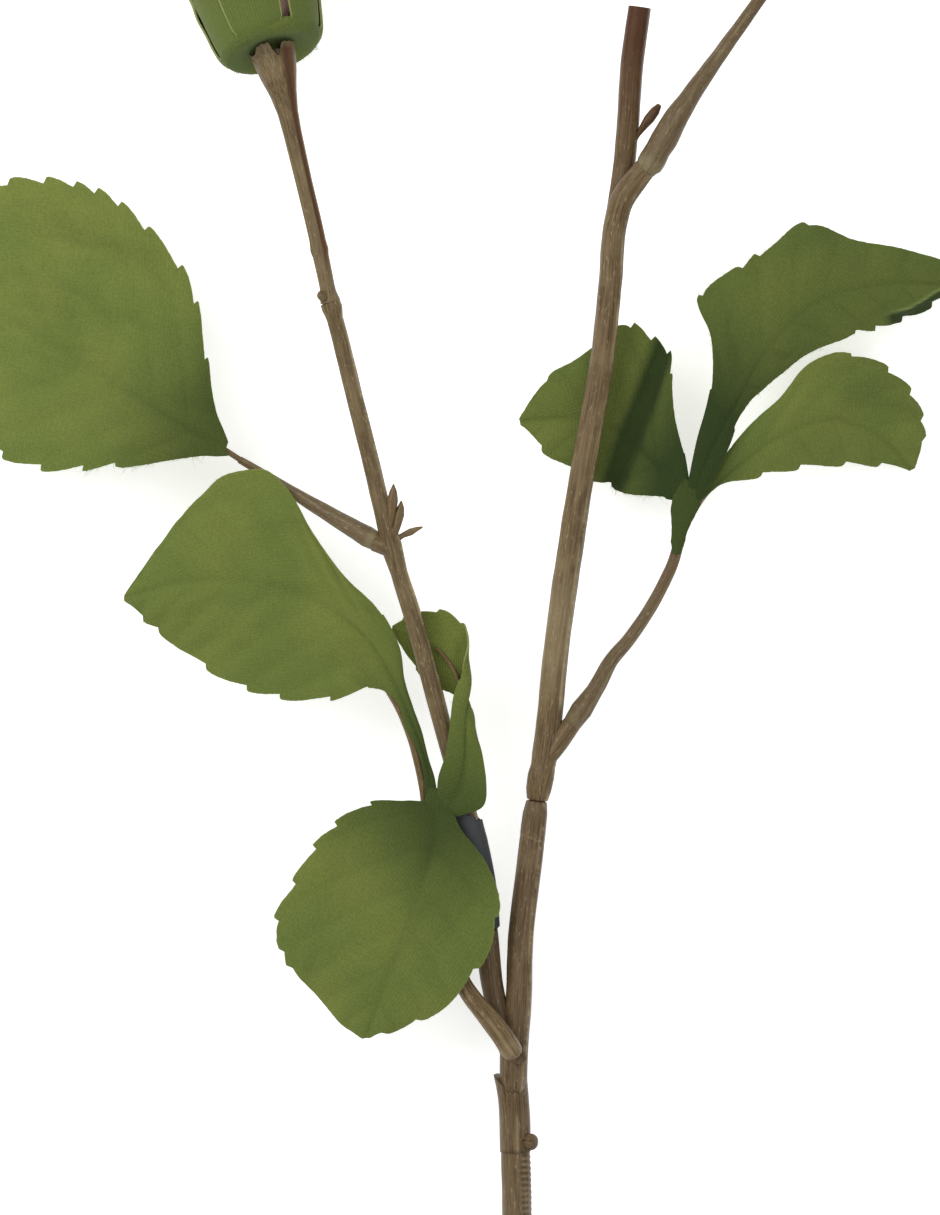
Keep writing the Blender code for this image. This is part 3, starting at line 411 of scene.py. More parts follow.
@dataclass(frozen=True)
class WovenFabric(Finish):
    """Polyester cloth, stiffened with size, pressed hot over a former and airbrushed.

    The threads are about a quarter of a millimetre apart. They show as a fine even speckle, drawn a little
    coarser than they are, and as a soft sheen. The airbrush leaves soft clouds of darker and warmer colour,
    and the cut edge shows pale threads. The folds of the leaves also carry painted shade, a painted shadow
    and painted highlights.

    Attributes:
        name: the material's name.
        base: the cloth's colour.
        deep: the darkest airbrushing, also laid as painted shade and painted shadow in folds.
        warm: the warmer clouds.
        edge: the threads of the cut edge, also laid as painted highlights along folded edges.
        under: the back between its ribbed threads.
        thread: the distance between threads in millimetres, as drawn.
        weave_depth: the height of a thread in metres.
        cloud: the size of the clouds in millimetres.
        streak: how strong the darker streaks are.
    """

    name: str
    base: str
    deep: str
    warm: str
    edge: str
    under: str
    thread: float = 0.45
    weave_depth: float = 0.00008
    cloud: float = 16.0
    streak: float = 0.25

    # How far apart in millimetres the wave texture's bands lie at a scale of one, and the weave's pitch
    # against the distance between threads
    BAND_PITCH = 0.314
    WEAVE_PITCH = 1.6
    # The patterns' size through the cloth, where its faces lie at 1 and -1
    FACE_PITCH = 4.0

    def dress(self, tree: bpy.types.NodeTree, shader: bpy.types.Node) -> None:
        """Adds the airbrushed clouds, the thread speckle, the pale edge and the weave.

        Args:
            tree: the material's node tree.
            shader: its main shader.
        """
        place = add_node(tree, "ShaderNodeAttribute", attribute_name="straight").outputs["Vector"]
        tone = add_node(tree, "ShaderNodeAttribute", attribute_name="tone").outputs["Vector"]
        tones = add_node(tree, "ShaderNodeSeparateXYZ", {"Vector": tone}).outputs
        side = add_node(tree, "ShaderNodeSeparateXYZ", {"Vector": place}).outputs["Z"]
        # Sizes in millimetres, across and along, and detail: clouds of paint, its drift along the cloth, and
        # single threads
        sizes = (
            (self.cloud, self.cloud, 2.0),
            (0.45 * self.cloud, 1.6 * self.cloud, 3.0),
            (self.thread, self.thread, 2.0),
        )
        chances = []
        for wide, long, detail in sizes:
            inputs = {"Vector": place, "Scale": (1.0 / wide, 1.0 / long, 1.0 / self.FACE_PITCH)}
            spread = add_node(tree, "ShaderNodeMapping", inputs).outputs[0]
            inputs = {"Vector": spread, "Scale": 1.0, "Detail": detail}
            chances.append(add_node(tree, "ShaderNodeTexNoise", inputs).outputs[0])
        clouds, drift, threads = chances
        waves = []
        scale = self.BAND_PITCH / (self.thread * self.WEAVE_PITCH)
        for direction in ("X", "Y"):
            inputs = {"Vector": place, "Scale": scale, "Distortion": 0.6, "Detail": 1.0}
            waves.append(add_node(tree, "ShaderNodeTexWave", inputs, bands_direction=direction).outputs[1])
        # The back has less paint, so its ribbed threads show as fine lines
        inputs = {0: waves[0], 6: linear(self.under), 7: linear(self.warm)}
        twill = add_node(tree, "ShaderNodeMix", inputs, data_type="RGBA").outputs[2]
        # Tone Y lays the airbrushed dark and the painted shade and shadow of folds; tone X the pale cut edge
        # and painted highlights
        layers = (
            (clouds, 0.36, 0.68, 1.0, linear(self.warm)),
            (drift, 0.52, 0.8, self.streak, linear(self.deep)),
            (tones["Y"], 0.0, 1.0, 1.0, linear(self.deep)),
            (side, -0.2, -0.8, 0.7, twill),
            (threads, 0.7, 0.3, 0.2, linear("#000000")),
            (tones["X"], 0.0, 1.0, 1.0, linear(self.edge)),
        )
        colour = linear(self.base)
        for value, low, high, share, paint in layers:
            limits = {"Value": value, "From Min": low, "From Max": high, "To Max": share}
            amount = add_node(tree, "ShaderNodeMapRange", limits).outputs[0]
            inputs = {0: amount, 6: colour, 7: paint}
            colour = add_node(tree, "ShaderNodeMix", inputs, data_type="RGBA").outputs[2]
        tree.links.new(colour, shader.inputs["Base Color"])
        weave = add_node(tree, "ShaderNodeMath", {0: waves[0], 1: waves[1]}, operation="ADD").outputs[0]
        relief = add_node(
            tree, "ShaderNodeBump", {"Strength": 0.6, "Distance": self.weave_depth, "Height": weave}
        )
        tree.links.new(relief.outputs[0], shader.inputs["Normal"])
        shader.inputs["Roughness"].default_value = 0.82
        shader.inputs["IOR"].default_value = 1.45
        shader.inputs["Specular IOR Level"].default_value = 0.15
        shader.inputs["Sheen Weight"].default_value = 0.05
        shader.inputs["Sheen Roughness"].default_value = 0.5


@dataclass(frozen=True)
class SeamlessPaper(Finish):
    """White background paper, matt and evenly lit, with a light of its own as on a light table."""

    name: str = "background_paper"

    def dress(self, tree: bpy.types.NodeTree, shader: bpy.types.Node) -> None:
        """Sets the paper's white and its own light.

        Args:
            tree: the material's node tree.
            shader: its main shader.
        """
        shader.inputs["Base Color"].default_value = linear("#f7f7f6")
        shader.inputs["Roughness"].default_value = 0.95
        shader.inputs["Specular IOR Level"].default_value = 0.1
        shader.inputs["Emission Color"].default_value = (1.0, 1.0, 1.0, 1.0)
        shader.inputs["Emission Strength"].default_value = 0.52


STEM_FINISH = MouldedPlastic("moulded_stem", "#7a6646", "#4e3c25", "#8b7957", "#ad9d78", "#472208")
LOWER_FINISH = MouldedPlastic("moulded_lower_stem", "#715d42", "#4a3925", "#817053", "#a5946f", "#532a10")
LEFT_FINISH = MouldedPlastic("moulded_left_stem", "#796749", "#514129", "#897857", "#af9f7b", "#613b1f")
STALK_FINISH = MouldedPlastic("moulded_stalk", "#716045", "#5b4a33", "#7b6b4f", "#a9a37e", "#63421f")
SLEEVE_FINISH = MouldedPlastic("slate_sleeve", "#383b40", "#2a2c2f", "#42464c", "#8c8f92", "#383b40", 0.42)
LEAF_FINISH = WovenFabric("leaf_cloth", "#707f3d", "#35431f", "#7d8741", "#97a466", "#6d7834")
SEPAL_FINISH = WovenFabric("sepal_cloth", "#5c6c36", "#3c4a24", "#6c7839", "#a6aa70", "#5d6b36", 0.4, 0.00004)
PETAL_FINISH = WovenFabric(
    "petal_cloth", "#b4937f", "#8a6857", "#c6a795", "#d6bfad", "#ab8c79", 0.4, 0.00005, 12.0, 0.45
)


def add_piece(
    name: str, form: Form, finish: Finish, slot: Slot, node: str = "", sharp: float = HARD_EDGE
) -> None:
    """Makes an object of the model, hangs it on the root body and hides the solid that it replaces.

    Args:
        name: the piece's name.
        form: its shape.
        finish: its finish.
        slot: the record's material slot; not used.
        node: the solid that it replaces, or nothing for a detail.
        sharp: the angle in degrees above which an edge stays sharp.
    """
    mesh = bpy.data.meshes.new(name)
    mesh.from_pydata(((form.points + FORK) * MM).tolist(), [], form.faces)
    for label, values in (("straight", form.straight), ("tone", form.tone)):
        layer = mesh.attributes.new(label, "FLOAT_VECTOR", "POINT")
        layer.data.foreach_set("vector", np.ascontiguousarray(values, dtype=np.float32).ravel())
    mesh.validate()
    mesh.materials.append(finish.material())
    piece = bpy.data.objects.new(name, mesh)
    bpy.context.scene.collection.objects.link(piece)
    mesh.shade_smooth()
    mesh.set_sharp_from_angle(angle=math.radians(sharp))
    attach(piece, "root")
    if node:
        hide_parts(node)
    LOG.info("%s: %d points, %d faces", name, len(mesh.vertices), len(mesh.polygons))


def frames_of(centres: np.ndarray) -> tuple[np.ndarray, np.ndarray, np.ndarray]:
    """Directions at places along a route.

    Args:
        centres: the places in order.

    Returns:
        The ways forward, across to the right and up at each place.
    """
    forward = unit(np.gradient(centres, axis=0))
    across = unit(np.cross(forward, UP))
    return forward, across, np.cross(across, forward)


class Pipe:
    """The plain round wall along a route.

    Attributes:
        sides: the points of each ring.
        centres: the middle of each ring.
        radii: the radius of each ring.
        forward: the way ahead at each ring.
        runs: how far along the route each ring is.
        angles: each point's angle in radians, 0 on the right and a quarter turn on top.
        circle: the way from the middle to each point.
        wall: each point's place on a straight pipe of radius one.
        straight: each point's place on the straightened pipe.
    """

    def __init__(self, route: Route, sides: int, spacing: float) -> None:
        """Lays the rings.

        Args:
            route: points of (x, y, z, radius).
            sides: the points of each ring.
            spacing: the distance between rings.
        """
        stations = along(route, spacing=spacing)
        self.sides = sides
        self.centres, self.radii = stations[:, :3], stations[:, 3]
        self.forward, across, upward = frames_of(self.centres)
        self.runs = distances(self.centres)
        self.angles = full_turn(sides)
        cosines, sines = np.cos(self.angles), np.sin(self.angles)
        self.circle = cosines[None, :, None] * across[:, None] + sines[None, :, None] * upward[:, None]
        values = (cosines, sines, self.runs[:, None])
        self.wall = np.stack([np.broadcast_to(value, (len(self.runs), sides)) for value in values], axis=-1)
        widths = np.stack([self.radii, self.radii, np.ones(len(self.radii))], axis=-1)
        self.straight = self.wall * widths[:, None]

    def rings(self, relief: np.ndarray) -> np.ndarray:
        """Every ring, with the relief on top of its radius."""
        return self.centres[:, None] + (self.radii[:, None] + relief)[..., None] * self.circle


@dataclass(frozen=True)
class Moulding:
    """How the wall of a moulded tube departs from a plain round one.

    Attributes:
        grooves: depth of the grooves along it.
        lumps: height of its unevenness.
        seam_at: the parting line's angle in degrees, 0 on the right and 90 on top, or nothing.
        seam: height of the parting line.
        seam_pale: how pale it is.
        rib_pitch: distance between the small ribs of a ribbed strip, or 0 for none.
        rib_until: how far along the route the ribbed strip runs.
        red: how reddish the colouring is, as a function of the share along the route.
        dark: how dark it is, likewise.
        light: how pale it is, likewise, painted glare included.
        spot: a reddish spot of paint, as (distance along, angle in degrees, size), or nothing.
        lip: how far the wall of its last end stands out along it, as a function of the angle in radians.
        painted_glints: how strong the painted glints are, pale dots along the parting line that stand for
            highlights.
        rings: places along it where a fine ring is cut, as (distance along, lean).
        first_cap: how far its first end is domed.
        last_cap: how far its last end is domed.
    """

    grooves: float = 0.10
    lumps: float = 0.07
    seam_at: Optional[float] = 38.0
    seam: float = 0.10
    seam_pale: float = 0.6
    rib_pitch: float = 0.0
    rib_until: float = 0.0
    red: Shares = np.zeros_like
    dark: Shares = np.zeros_like
    light: Shares = np.zeros_like
    spot: Optional[Point] = None
    lip: Optional[Shares] = None
    painted_glints: float = 0.0
    rings: Sequence[tuple[float, float]] = ()
    first_cap: float = 0.3
    last_cap: float = 0.3

    # How fast each kind of unevenness changes across the tube, twice, and along it
    WIDE_GROOVES = (2.6, 2.6, 0.02)
    FINE_GROOVES = (5.2, 5.2, 0.035)
    LUMPS = (0.9, 0.9, 0.22)
    SEAM_BREAKS = (0.4, 0.4, 0.16)
    SEAM_GLINTS = (0.4, 0.4, 1.9)
    SEAM_HALF = 0.28
    RING_HALF, RING_DEPTH = 0.22, 0.12
    BEAD_HEIGHT, STRIP_DEPTH = 0.34, 0.22
    LIP_REACH = 7.0
    DEGREES_PER_RADIAN = 57.3

    def press(self, pipe: Pipe, seed: float) -> tuple[np.ndarray, np.ndarray]:
        """Works out the wall's relief.

        Args:
            pipe: the plain wall.
            seed: picks the unevenness.

        Returns:
            How far each point stands out, and how pale the relief and the painted glints leave it.
        """
        runs, degrees = pipe.runs, np.degrees(pipe.angles)
        wide = unevenness(pipe.wall, self.WIDE_GROOVES, seed + 3.1)
        fine = unevenness(pipe.wall, self.FINE_GROOVES, seed + 7.7)
        relief = self.grooves * (1.5 * wide + 0.9 * fine)
        relief += self.lumps * unevenness(pipe.wall, self.LUMPS, seed + 11.3)
        pale = np.zeros_like(relief)
        if self.seam_at is not None:
            wander = 5.0 * np.sin(runs / 17.0 + seed) + 3.0 * np.sin(runs / 6.1 + 2 * seed)
            off = (degrees[None, :] - self.seam_at - wander[:, None] + 180) % 360 - 180
            spread = np.degrees(self.SEAM_HALF / np.maximum(pipe.radii, 0.6))[:, None]
            there = bump(off, spread)
            broken = ease(unevenness(pipe.wall, self.SEAM_BREAKS, seed + 19.0), -0.35, 0.25)
            relief += self.seam * there
            pale += self.seam_pale * there * broken
            # Painted glints: pale dots beside the parting line stand for highlights
            glints = ease(unevenness(pipe.wall, self.SEAM_GLINTS, seed + 23.0), 0.12, 0.3)
            pale += self.painted_glints * glints * bump(off + 9, 1.3 * spread)
        for at, lean in self.rings:
            off = runs[:, None] - at - lean * np.cos(pipe.angles)[None, :]
            relief -= self.RING_DEPTH * bump(off, self.RING_HALF)
            pale += 0.35 * bump(off - 0.4, 0.25)
        if self.rib_pitch:
            window = within(degrees, -8, 78, 16, 16)
            ribbed = window[None, :] * (1 - ease(runs, self.rib_until - 0.8, self.rib_until))[:, None]
            bead = np.abs(np.sin(math.pi * runs / self.rib_pitch))[:, None]
            relief += ribbed * (self.BEAD_HEIGHT * bead - self.STRIP_DEPTH)
            pale += 0.3 * ribbed * ease(bead, 0.7, 1.0)
        return relief, pale

    def paint(self, pipe: Pipe, relief: np.ndarray, pale: np.ndarray) -> np.ndarray:
        """Works out the wall's colouring, painted shade on its sides and open rims included.

        Args:
            pipe: the plain wall.
            relief: how far each point stands out.
            pale: how pale the relief leaves it.

        Returns:
            The tone of each point.
        """
        runs = pipe.runs
        share = runs / runs[-1]
        dark = np.repeat(self.dark(share)[:, None], pipe.sides, axis=1)
        red = np.repeat(self.red(share)[:, None], pipe.sides, axis=1)
        # Paint lies thicker in the grooves; the sides and the underside get painted shade, darker away from
        # the top
        dark = dark + 0.35 * ease(-relief / max(self.grooves, 0.01), 0.5, 1.6)
        dark = dark + 0.3 * (1 - ease(np.sin(pipe.angles), -0.2, 0.55))[None, :]
        # Painted shade darkens the last half millimetre of an open, lipped end
        if self.lip is not None:
            dark = dark + 0.5 * ease(runs, runs[-1] - 0.5, runs[-1])[:, None]
        if self.spot is not None:
            at, turn, size = self.spot
            beside = (np.degrees(pipe.angles)[None, :] - turn) * pipe.radii[:, None]
            away = ((runs[:, None] - at) / size) ** 2 + (beside / self.DEGREES_PER_RADIAN) ** 2
            red = red + 0.9 * np.exp(-away / 0.6)
        return np.stack([pale + self.light(share)[:, None], dark, red], axis=-1)


PLAIN = Moulding(grooves=0.05, lumps=0.04, seam_at=None)
# The rings of a domed end, as (width, share of the dome's height), and the least height over the surface
DOME = ((0.94, 0.35), (0.8, 0.65), (0.5, 0.9), (0.12, 1.0))
LOWEST = 0.02


def tube(
    route: Route, moulding: Moulding = PLAIN, sides: int = 32, spacing: float = 0.9, seed: float = 0.0
) -> Form:
    """A closed tube along a route, with the wall of its moulding.

    Args:
        route: points of (x, y, z, radius).
        moulding: how the wall departs from a round one.
        sides: points round the tube.
        spacing: distance between its rings.
        seed: picks the unevenness.

    Returns:
        The tube's form.
    """
    pipe = Pipe(route, sides, spacing)
    relief, pale = moulding.press(pipe, seed)
    rings = pipe.rings(relief)
    if moulding.lip is not None:
        pull = ease(pipe.runs, pipe.runs[-1] - moulding.LIP_REACH, pipe.runs[-1])
        rings += (pull[:, None] * moulding.lip(pipe.angles)[None, :])[..., None] * pipe.forward[:, None]
    rows = list(zip(rings, pipe.straight, moulding.paint(pipe, relief, pale)))
    head, tail = [], []
    for end, sign, cap, caps in ((0, -1.0, moulding.first_cap, head), (-1, 1.0, moulding.last_cap, tail)):
        middle = pipe.centres[end]
        ring, place, tone = rows[end]
        for inward, rise in DOME:
            row = middle + (ring - middle) * inward + sign * cap * rise * pipe.forward[end]
            caps.append((row, place + (0, 0, sign * cap * rise), tone * 0.5))
    rows = head[::-1] + rows + tail
    points, places, tones = (np.concatenate(part) for part in zip(*rows))
    points[:, 2] = np.maximum(points[:, 2], LOWEST)
    return Form(points, ring_faces(len(rows), sides, ends=True), places, np.clip(tones, 0, 1))


def sheet(
    grid: np.ndarray,
    half: np.ndarray,
    straight: np.ndarray,
    tone: np.ndarray,
    normals: Optional[np.ndarray] = None,
) -> Form:
    """A thin closed sheet either side of a grid of points.

    Args:
        grid: rows and columns of places.
        half: half the thickness at each point.
        straight: each point's place on the flat cloth, two numbers.
        tone: the colouring of each point.
        normals: the direction of its upper face, where the grid itself is too rough to give it.

    Returns:
        The sheet's form.
    """
    rows, columns = grid.shape[:2]
    if normals is None:
        normals = facing(grid)
    offset = normals * half[..., None]
    points = np.concatenate([(grid + offset).reshape(-1, 3), (grid - offset).reshape(-1, 3)])
    under = rows * columns
    faces = []
    for i in range(rows - 1):
        for j in range(columns - 1):
            a = i * columns + j
            b, c, d = a + 1, a + columns + 1, a + columns
            faces.append((a, b, c, d))
            faces.append((under + d, under + c, under + b, under + a))
    rim = list(range(columns)) + [i * columns + columns - 1 for i in range(1, rows)]
    rim += [(rows - 1) * columns + j for j in range(columns - 2, -1, -1)]
    rim += [i * columns for i in range(rows - 2, 0, -1)]
    for a, b in zip(rim, rim[1:] + rim[:1]):
        faces.append((a, under + a, under + b, b))
    flat = straight.reshape(-1, 2)
    sides = np.concatenate([np.c_[flat, np.ones(under)], np.c_[flat, -np.ones(under)]])
    return Form(points, faces, sides, np.clip(np.concatenate([tone.reshape(-1, 3)] * 2), 0, 1))


class Fray:
    """Loose threads along a cut edge.

    Attributes:
        draw: the source of chance.
        forms: the threads so far.
    """

    WIDTH = 0.05
    LOWEST = 0.05

    def __init__(self, seed: int) -> None:
        """Starts without threads, with chance that the seed picks."""
        self.draw = random.Random(seed)
        self.forms: list[Form] = []

    def thread(self, root: np.ndarray, way: np.ndarray, length: float, pale: float) -> None:
        """Adds one bent thread.

        Args:
            root: where it leaves the cloth.
            way: its direction.
            length: how long it is.
            pale: how pale it is.
        """
        bend = np.array([self.draw.uniform(-1.2, 1.2) for _ in range(3)])
        sideways = unit(np.cross(way, UP + 0.01)) * self.WIDTH
        rings = []
        for t in (0.0, 0.35, 0.7, 1.0):
            centre = root + (way * t + bend * t * t * 0.7) * length
            width = 1.0 - 0.7 * t
            third = np.cross(unit(way), sideways)
            rings += [centre + sideways * width, centre - sideways * width * 0.5 + third * width]
            rings.append(centre - sideways * width * 0.5 - third * width)
        points = np.array(rings)
        points[:, 2] = np.maximum(points[:, 2], self.LOWEST)
        tone = np.tile((pale, 0.0, 0.0), (len(points), 1))
        self.forms.append(Form(points, ring_faces(4, 3, ends=True), points.copy(), tone))

    def along_edge(
        self, edge: np.ndarray, outward: np.ndarray, count: int, length: float, pale: float
    ) -> None:
        """Adds threads along a stretch of edge.

        Args:
            edge: places along it.
            outward: the direction out of the cloth at each place.
            count: how many threads.
            length: the longest one.
            pale: how pale they are at most.
        """
        tangent = unit(np.gradient(edge, axis=0))
        for _ in range(count):
            at = self.draw.randrange(len(edge))
            lean = self.draw.uniform(-2.2, 2.2)
            way = unit(outward[at] + lean * tangent[at] + self.draw.uniform(-0.2, 0.3) * UP)
            root = edge[at] - 0.15 * outward[at]
            self.thread(root, way, length * self.draw.uniform(0.25, 1.0), pale * self.draw.uniform(0.2, 1.0))


@dataclass(frozen=True)
class Crease:
    """A soft fold pressed into a lobe, along a line in plan, darkened with a painted shadow.

    Attributes:
        start: where the line starts, (x, y).
        end: where it ends.
        depth: how far it is pressed down.
        width: how wide it is.
        dark: how much darker its painted shadow makes it, a stem's shadow cast across the fold.
    """

    start: tuple[float, float]
    end: tuple[float, float]
    depth: float
    width: float
    dark: float

    def near(self, grid: np.ndarray) -> np.ndarray:
        """How much each point lies in the fold.

        Args:
            grid: rows and columns of places.

        Returns:
            A number from 0 to 1 for each point.
        """
        a, b = np.array(self.start), np.array(self.end)
        run = b - a
        share = np.clip(((grid[..., :2] - a) @ run) / (run @ run), -0.08, 1.08)
        off = np.linalg.norm(grid[..., :2] - (a + share[..., None] * run), axis=-1)
        return bump(off, self.width)


@dataclass
class Lobe:
    """One serrated lobe of a leaf.

    Attributes:
        middle: points of its middle line, from foot to tip.
        left: points of its left edge.
        right: points of its right edge.
        strip: the share of its length that is plain strip.
        teeth: for each edge, the tips of its teeth, (x, y).
        depth: how far a tooth stands out.
        tint: how dark the whole lobe is.
        roll: where its left half is rolled over, as (from share, to share, height).
        hem: where its right edge hangs down, as (from share, to share, width), with painted shade on the drop
            and a painted highlight along its fold.
        shaded: how far from its foot the dark airbrushing reaches.
        shade: how dark it is there.
        creases: folds pressed into it, each with a painted shadow.
        bias: the angle in degrees at which it was cut from the cloth.
        veins: distance between side veins.
        hairs: for an edge, how many long loose threads it has near the foot, as a share of the rows.
        rib_share: the share of its length that the stalk's rib runs.
        seed: picks its unevenness.
    """

    middle: Route
    left: Route
    right: Route
    strip: float = 0.1
    teeth: dict[Side, Sequence[tuple[float, float]]] = field(default_factory=dict)
    depth: float = 1.3
    tint: float = 0.0
    roll: Optional[Point] = None
    hem: Optional[Point] = None
    shaded: float = 24.0
    shade: float = 0.75
    creases: Sequence[Crease] = ()
    bias: float = 20.0
    veins: float = 9.0
    hairs: dict[Side, float] = field(default_factory=dict)
    rib_share: float = 0.6
    seed: float = 0.0

    TIP_HALF = 0.6
    ARCH, ARCH_SHARE = 0.9, 0.06
    HALF = 0.2
    COLUMNS = 41
    ROW_SPACING = 0.6
    # Heights and half widths of the pressed veins, and the shallow waves of the cloth
    VEIN_DEPTH, VEIN_HALF, VEIN_LEAN = 0.13, 0.55, 0.75
    MIDDLE_DEPTH, MIDDLE_HALF = 0.22, 0.7
    PILLOW, SWAY, CURL = 0.16, 0.55, 0.35
    HEM_DROP = 0.8
    # Short threads all along the edge, as a share of the rows, and long ones near the foot
    THREADS, THREAD_LENGTH, THREAD_PALE = 0.2, 0.5, 0.6
    HAIR_LENGTH, HAIR_PALE, HAIR_STRETCH = 1.9, 0.8, 0.34

    def __post_init__(self) -> None:
        """Lays the middle line and the plain edges, row by row."""
        lines = (self.middle, self.left, self.right)
        longest = max(distances(np.array(line, float))[-1] for line in lines)
        self.rows = int(longest / self.ROW_SPACING)
        self.at = np.linspace(0, 1, self.rows)
        self.spine = along(self.middle, count=self.rows)
        sideways = unit(np.subtract(self.right[-1], self.left[-1])) * self.TIP_HALF
        self.edges = {
            Side.LEFT: along([*self.left, self.spine[-1] - sideways], count=self.rows),
            Side.RIGHT: along([*self.right, self.spine[-1] + sideways], count=self.rows),
        }
        across = self.edges[Side.RIGHT] - self.edges[Side.LEFT]
        self.normals = unit(np.cross(across, np.gradient(self.spine, axis=0)))
        self.shares = edge_shares(self.COLUMNS)

    def smooth_grid(self) -> np.ndarray:
        """The lobe's middle surface with plain edges, arched a little on either side of its middle line.

        Returns:
            Rows of places from foot to tip, each from the left edge to the right one.
        """
        columns = []
        for share in self.shares:
            reach = self.edges[Side.LEFT if share < 0 else Side.RIGHT] - self.spine
            out = abs(share)
            arch = np.minimum(self.ARCH, self.ARCH_SHARE * np.linalg.norm(reach, axis=1))
            if self.roll and share < 0:
                low, high, height = self.roll
                arch = arch + height * within(self.at, low, high, 0.06, 0.06)
            arch = arch * 4 * out * (1 - out)
            columns.append(self.spine + out * reach + arch[:, None] * self.normals)
        return np.stack(columns, axis=1)

    def tooth(self, side: Side) -> np.ndarray:
        """How far a cut edge stands out, as a saw with long backs and short steps.

        Args:
            side: which edge.

        Returns:
            A distance for each row.
        """
        at = self.at
        tips = []
        for tip in self.teeth.get(side, ()):
            away = np.linalg.norm(self.edges[side][:, :2] - tip, axis=1)
            tips.append(at[int(away.argmin())])
        ends = [self.strip] + sorted(tips) + [1.0]
        out = np.zeros(self.rows)
        for low, high in zip(ends, ends[1:]):
            here = (at >= low) & (at < high)
            t = (at[here] - low) / max(high - low, 1e-6)
            # A long back that bulges, rounds over at the tip and ends in a short step
            back = np.sin(np.pi * 0.54 * t**1.15) * (1 - 0.4 * ease(t, 0.88, 1.0))
            last = 0.0 if high == 1.0 or not tips else 1.0
            out[here] = min(1.0, (high - low) / 0.05) * (last * back - 0.4)
        out *= ease(at, self.strip * 0.7, self.strip * 0.7 + 0.06) * (1 - ease(at, 0.96, 1.0))
        rough = unevenness(np.c_[at * 900, np.zeros((self.rows, 2))], (0.35, 1, 1), self.seed + side.value)
        return self.depth * out + 0.12 * rough * ease(at, self.strip * 0.5, self.strip + 0.05)

    def relief(
        self, plain: np.ndarray, across: np.ndarray, runs: np.ndarray
    ) -> tuple[np.ndarray, np.ndarray, np.ndarray]:
        """Works out the pressed veins, the waves of the cloth, its folds, the airbrushing, and the painted
        shade and highlights of its creases and hem.

        Args:
            plain: the lobe's middle surface.
            across: how far each point lies from the middle line, negative on the left.
            runs: how far each point lies from the foot.

        Returns:
            How far each point is lifted, how dark it is and how pale it is.
        """
        width, out = np.abs(across), np.abs(self.shares)
        # The middle vein, and side veins that lean towards the tip
        lean = (runs - self.VEIN_LEAN * width) / self.veins
        foot = self.strip * runs[-1]
        fade = ease(runs, foot, foot + 8) * (1 - ease(out, 0.8, 1.0))
        side_vein = bump(np.abs(lean - np.round(lean)) * self.veins, self.VEIN_HALF)
        side_vein = side_vein * ease(width, 0.3, 2.0) * fade
        middle_vein = bump(width, self.MIDDLE_HALF) * ease(runs, 2.0, 10.0)
        pillow = self.PILLOW * np.cos(2 * math.pi * lean) * ease(width, 1.0, 6.0) * fade
        flat = np.stack([across, runs, np.full_like(runs, self.seed)], axis=-1)
        sway = self.SWAY * unevenness(flat, (0.07, 0.07, 1.0), self.seed) * ease(runs, 4.0, 25.0)
        curl = self.CURL * unevenness(flat, (0.22, 0.22, 1.0), self.seed + 5) * ease(out, 0.7, 1.0)
        lift = sway + curl * ease(runs, 4, 20) - pillow
        lift = lift - self.VEIN_DEPTH * side_vein - self.MIDDLE_DEPTH * middle_vein
        dark = self.tint + self.shade * (1 - ease(runs + 0.3 * width, 2.0, self.shaded)) ** 1.2
        dark = dark + 0.06 * side_vein + 0.09 * middle_vein
        # Each crease is pressed in and darkened with a painted shadow, as the stem's shadow falling across
        # the fold
        for crease in self.creases:
            near = crease.near(plain)
            lift = lift - crease.depth * near
            dark = dark + crease.dark * near
        pale = np.zeros_like(dark)
        # The hanging edge: painted shade on its steep drop and a painted highlight along the fold
        if self.hem:
            low, high, wide = self.hem
            there = within(self.at[:, None], low, high, 0.05, 0.04)
            from_edge = across[:, [-1]] - across
            lift = lift - self.HEM_DROP * there * (1 - ease(from_edge, 0.0, wide))
            dark = dark + 0.9 * there * (1 - ease(from_edge, wide - 0.35, wide))
            pale = pale + 0.5 * there * bump(from_edge - wide, 0.3)
        return lift, dark, pale

    def sheet(self, fray: Fray) -> Form:
        """The lobe as a sheet with teeth, veins, folds and colouring.

        Args:
            fray: takes the loose threads along its edges.

        Returns:
            The lobe's form.
        """
        plain = self.smooth_grid()
        ways = facing(plain)
        ways[-1] = ways[-2]
        across = np.stack([distances(row) for row in plain])
        across -= across[:, [self.COLUMNS // 2]]
        runs = np.repeat(distances(self.spine)[:, None], self.COLUMNS, axis=1)
        lift, dark, pale = self.relief(plain, across, runs)
        grid = plain + lift[..., None] * ways
        near = slice(int(self.strip * self.rows) + 4, int((self.strip + self.HAIR_STRETCH) * self.rows))
        for side, column, inner in ((Side.LEFT, 0, 4), (Side.RIGHT, -1, -5)):
            outward = unit(plain[:, column] - plain[:, inner])
            push = self.tooth(side)
            slip = 0.12 * push[:, None] * unit(np.gradient(plain[:, column], axis=0))
            weight = ease(self.shares * side.value, 0.82, 1.0)
            grid += weight[None, :, None] * (push[:, None] * outward + slip)[:, None]
            edge, count = grid[:, column], int(self.rows * self.THREADS)
            fray.along_edge(edge[2:-2], outward[2:-2], count, self.THREAD_LENGTH, self.THREAD_PALE)
            count = int(self.rows * self.hairs.get(side, 0.0))
            fray.along_edge(edge[near], outward[near], count, self.HAIR_LENGTH, self.HAIR_PALE)
        grid[..., 2] = np.maximum(grid[..., 2], self.HALF + 0.05)
        self.finished = grid
        edge = 0.6 * ease(np.abs(self.shares), 0.995, 1.0)[None, :]
        tone = np.stack([edge + pale, np.clip(dark, 0, 1), np.zeros_like(dark)], axis=-1)
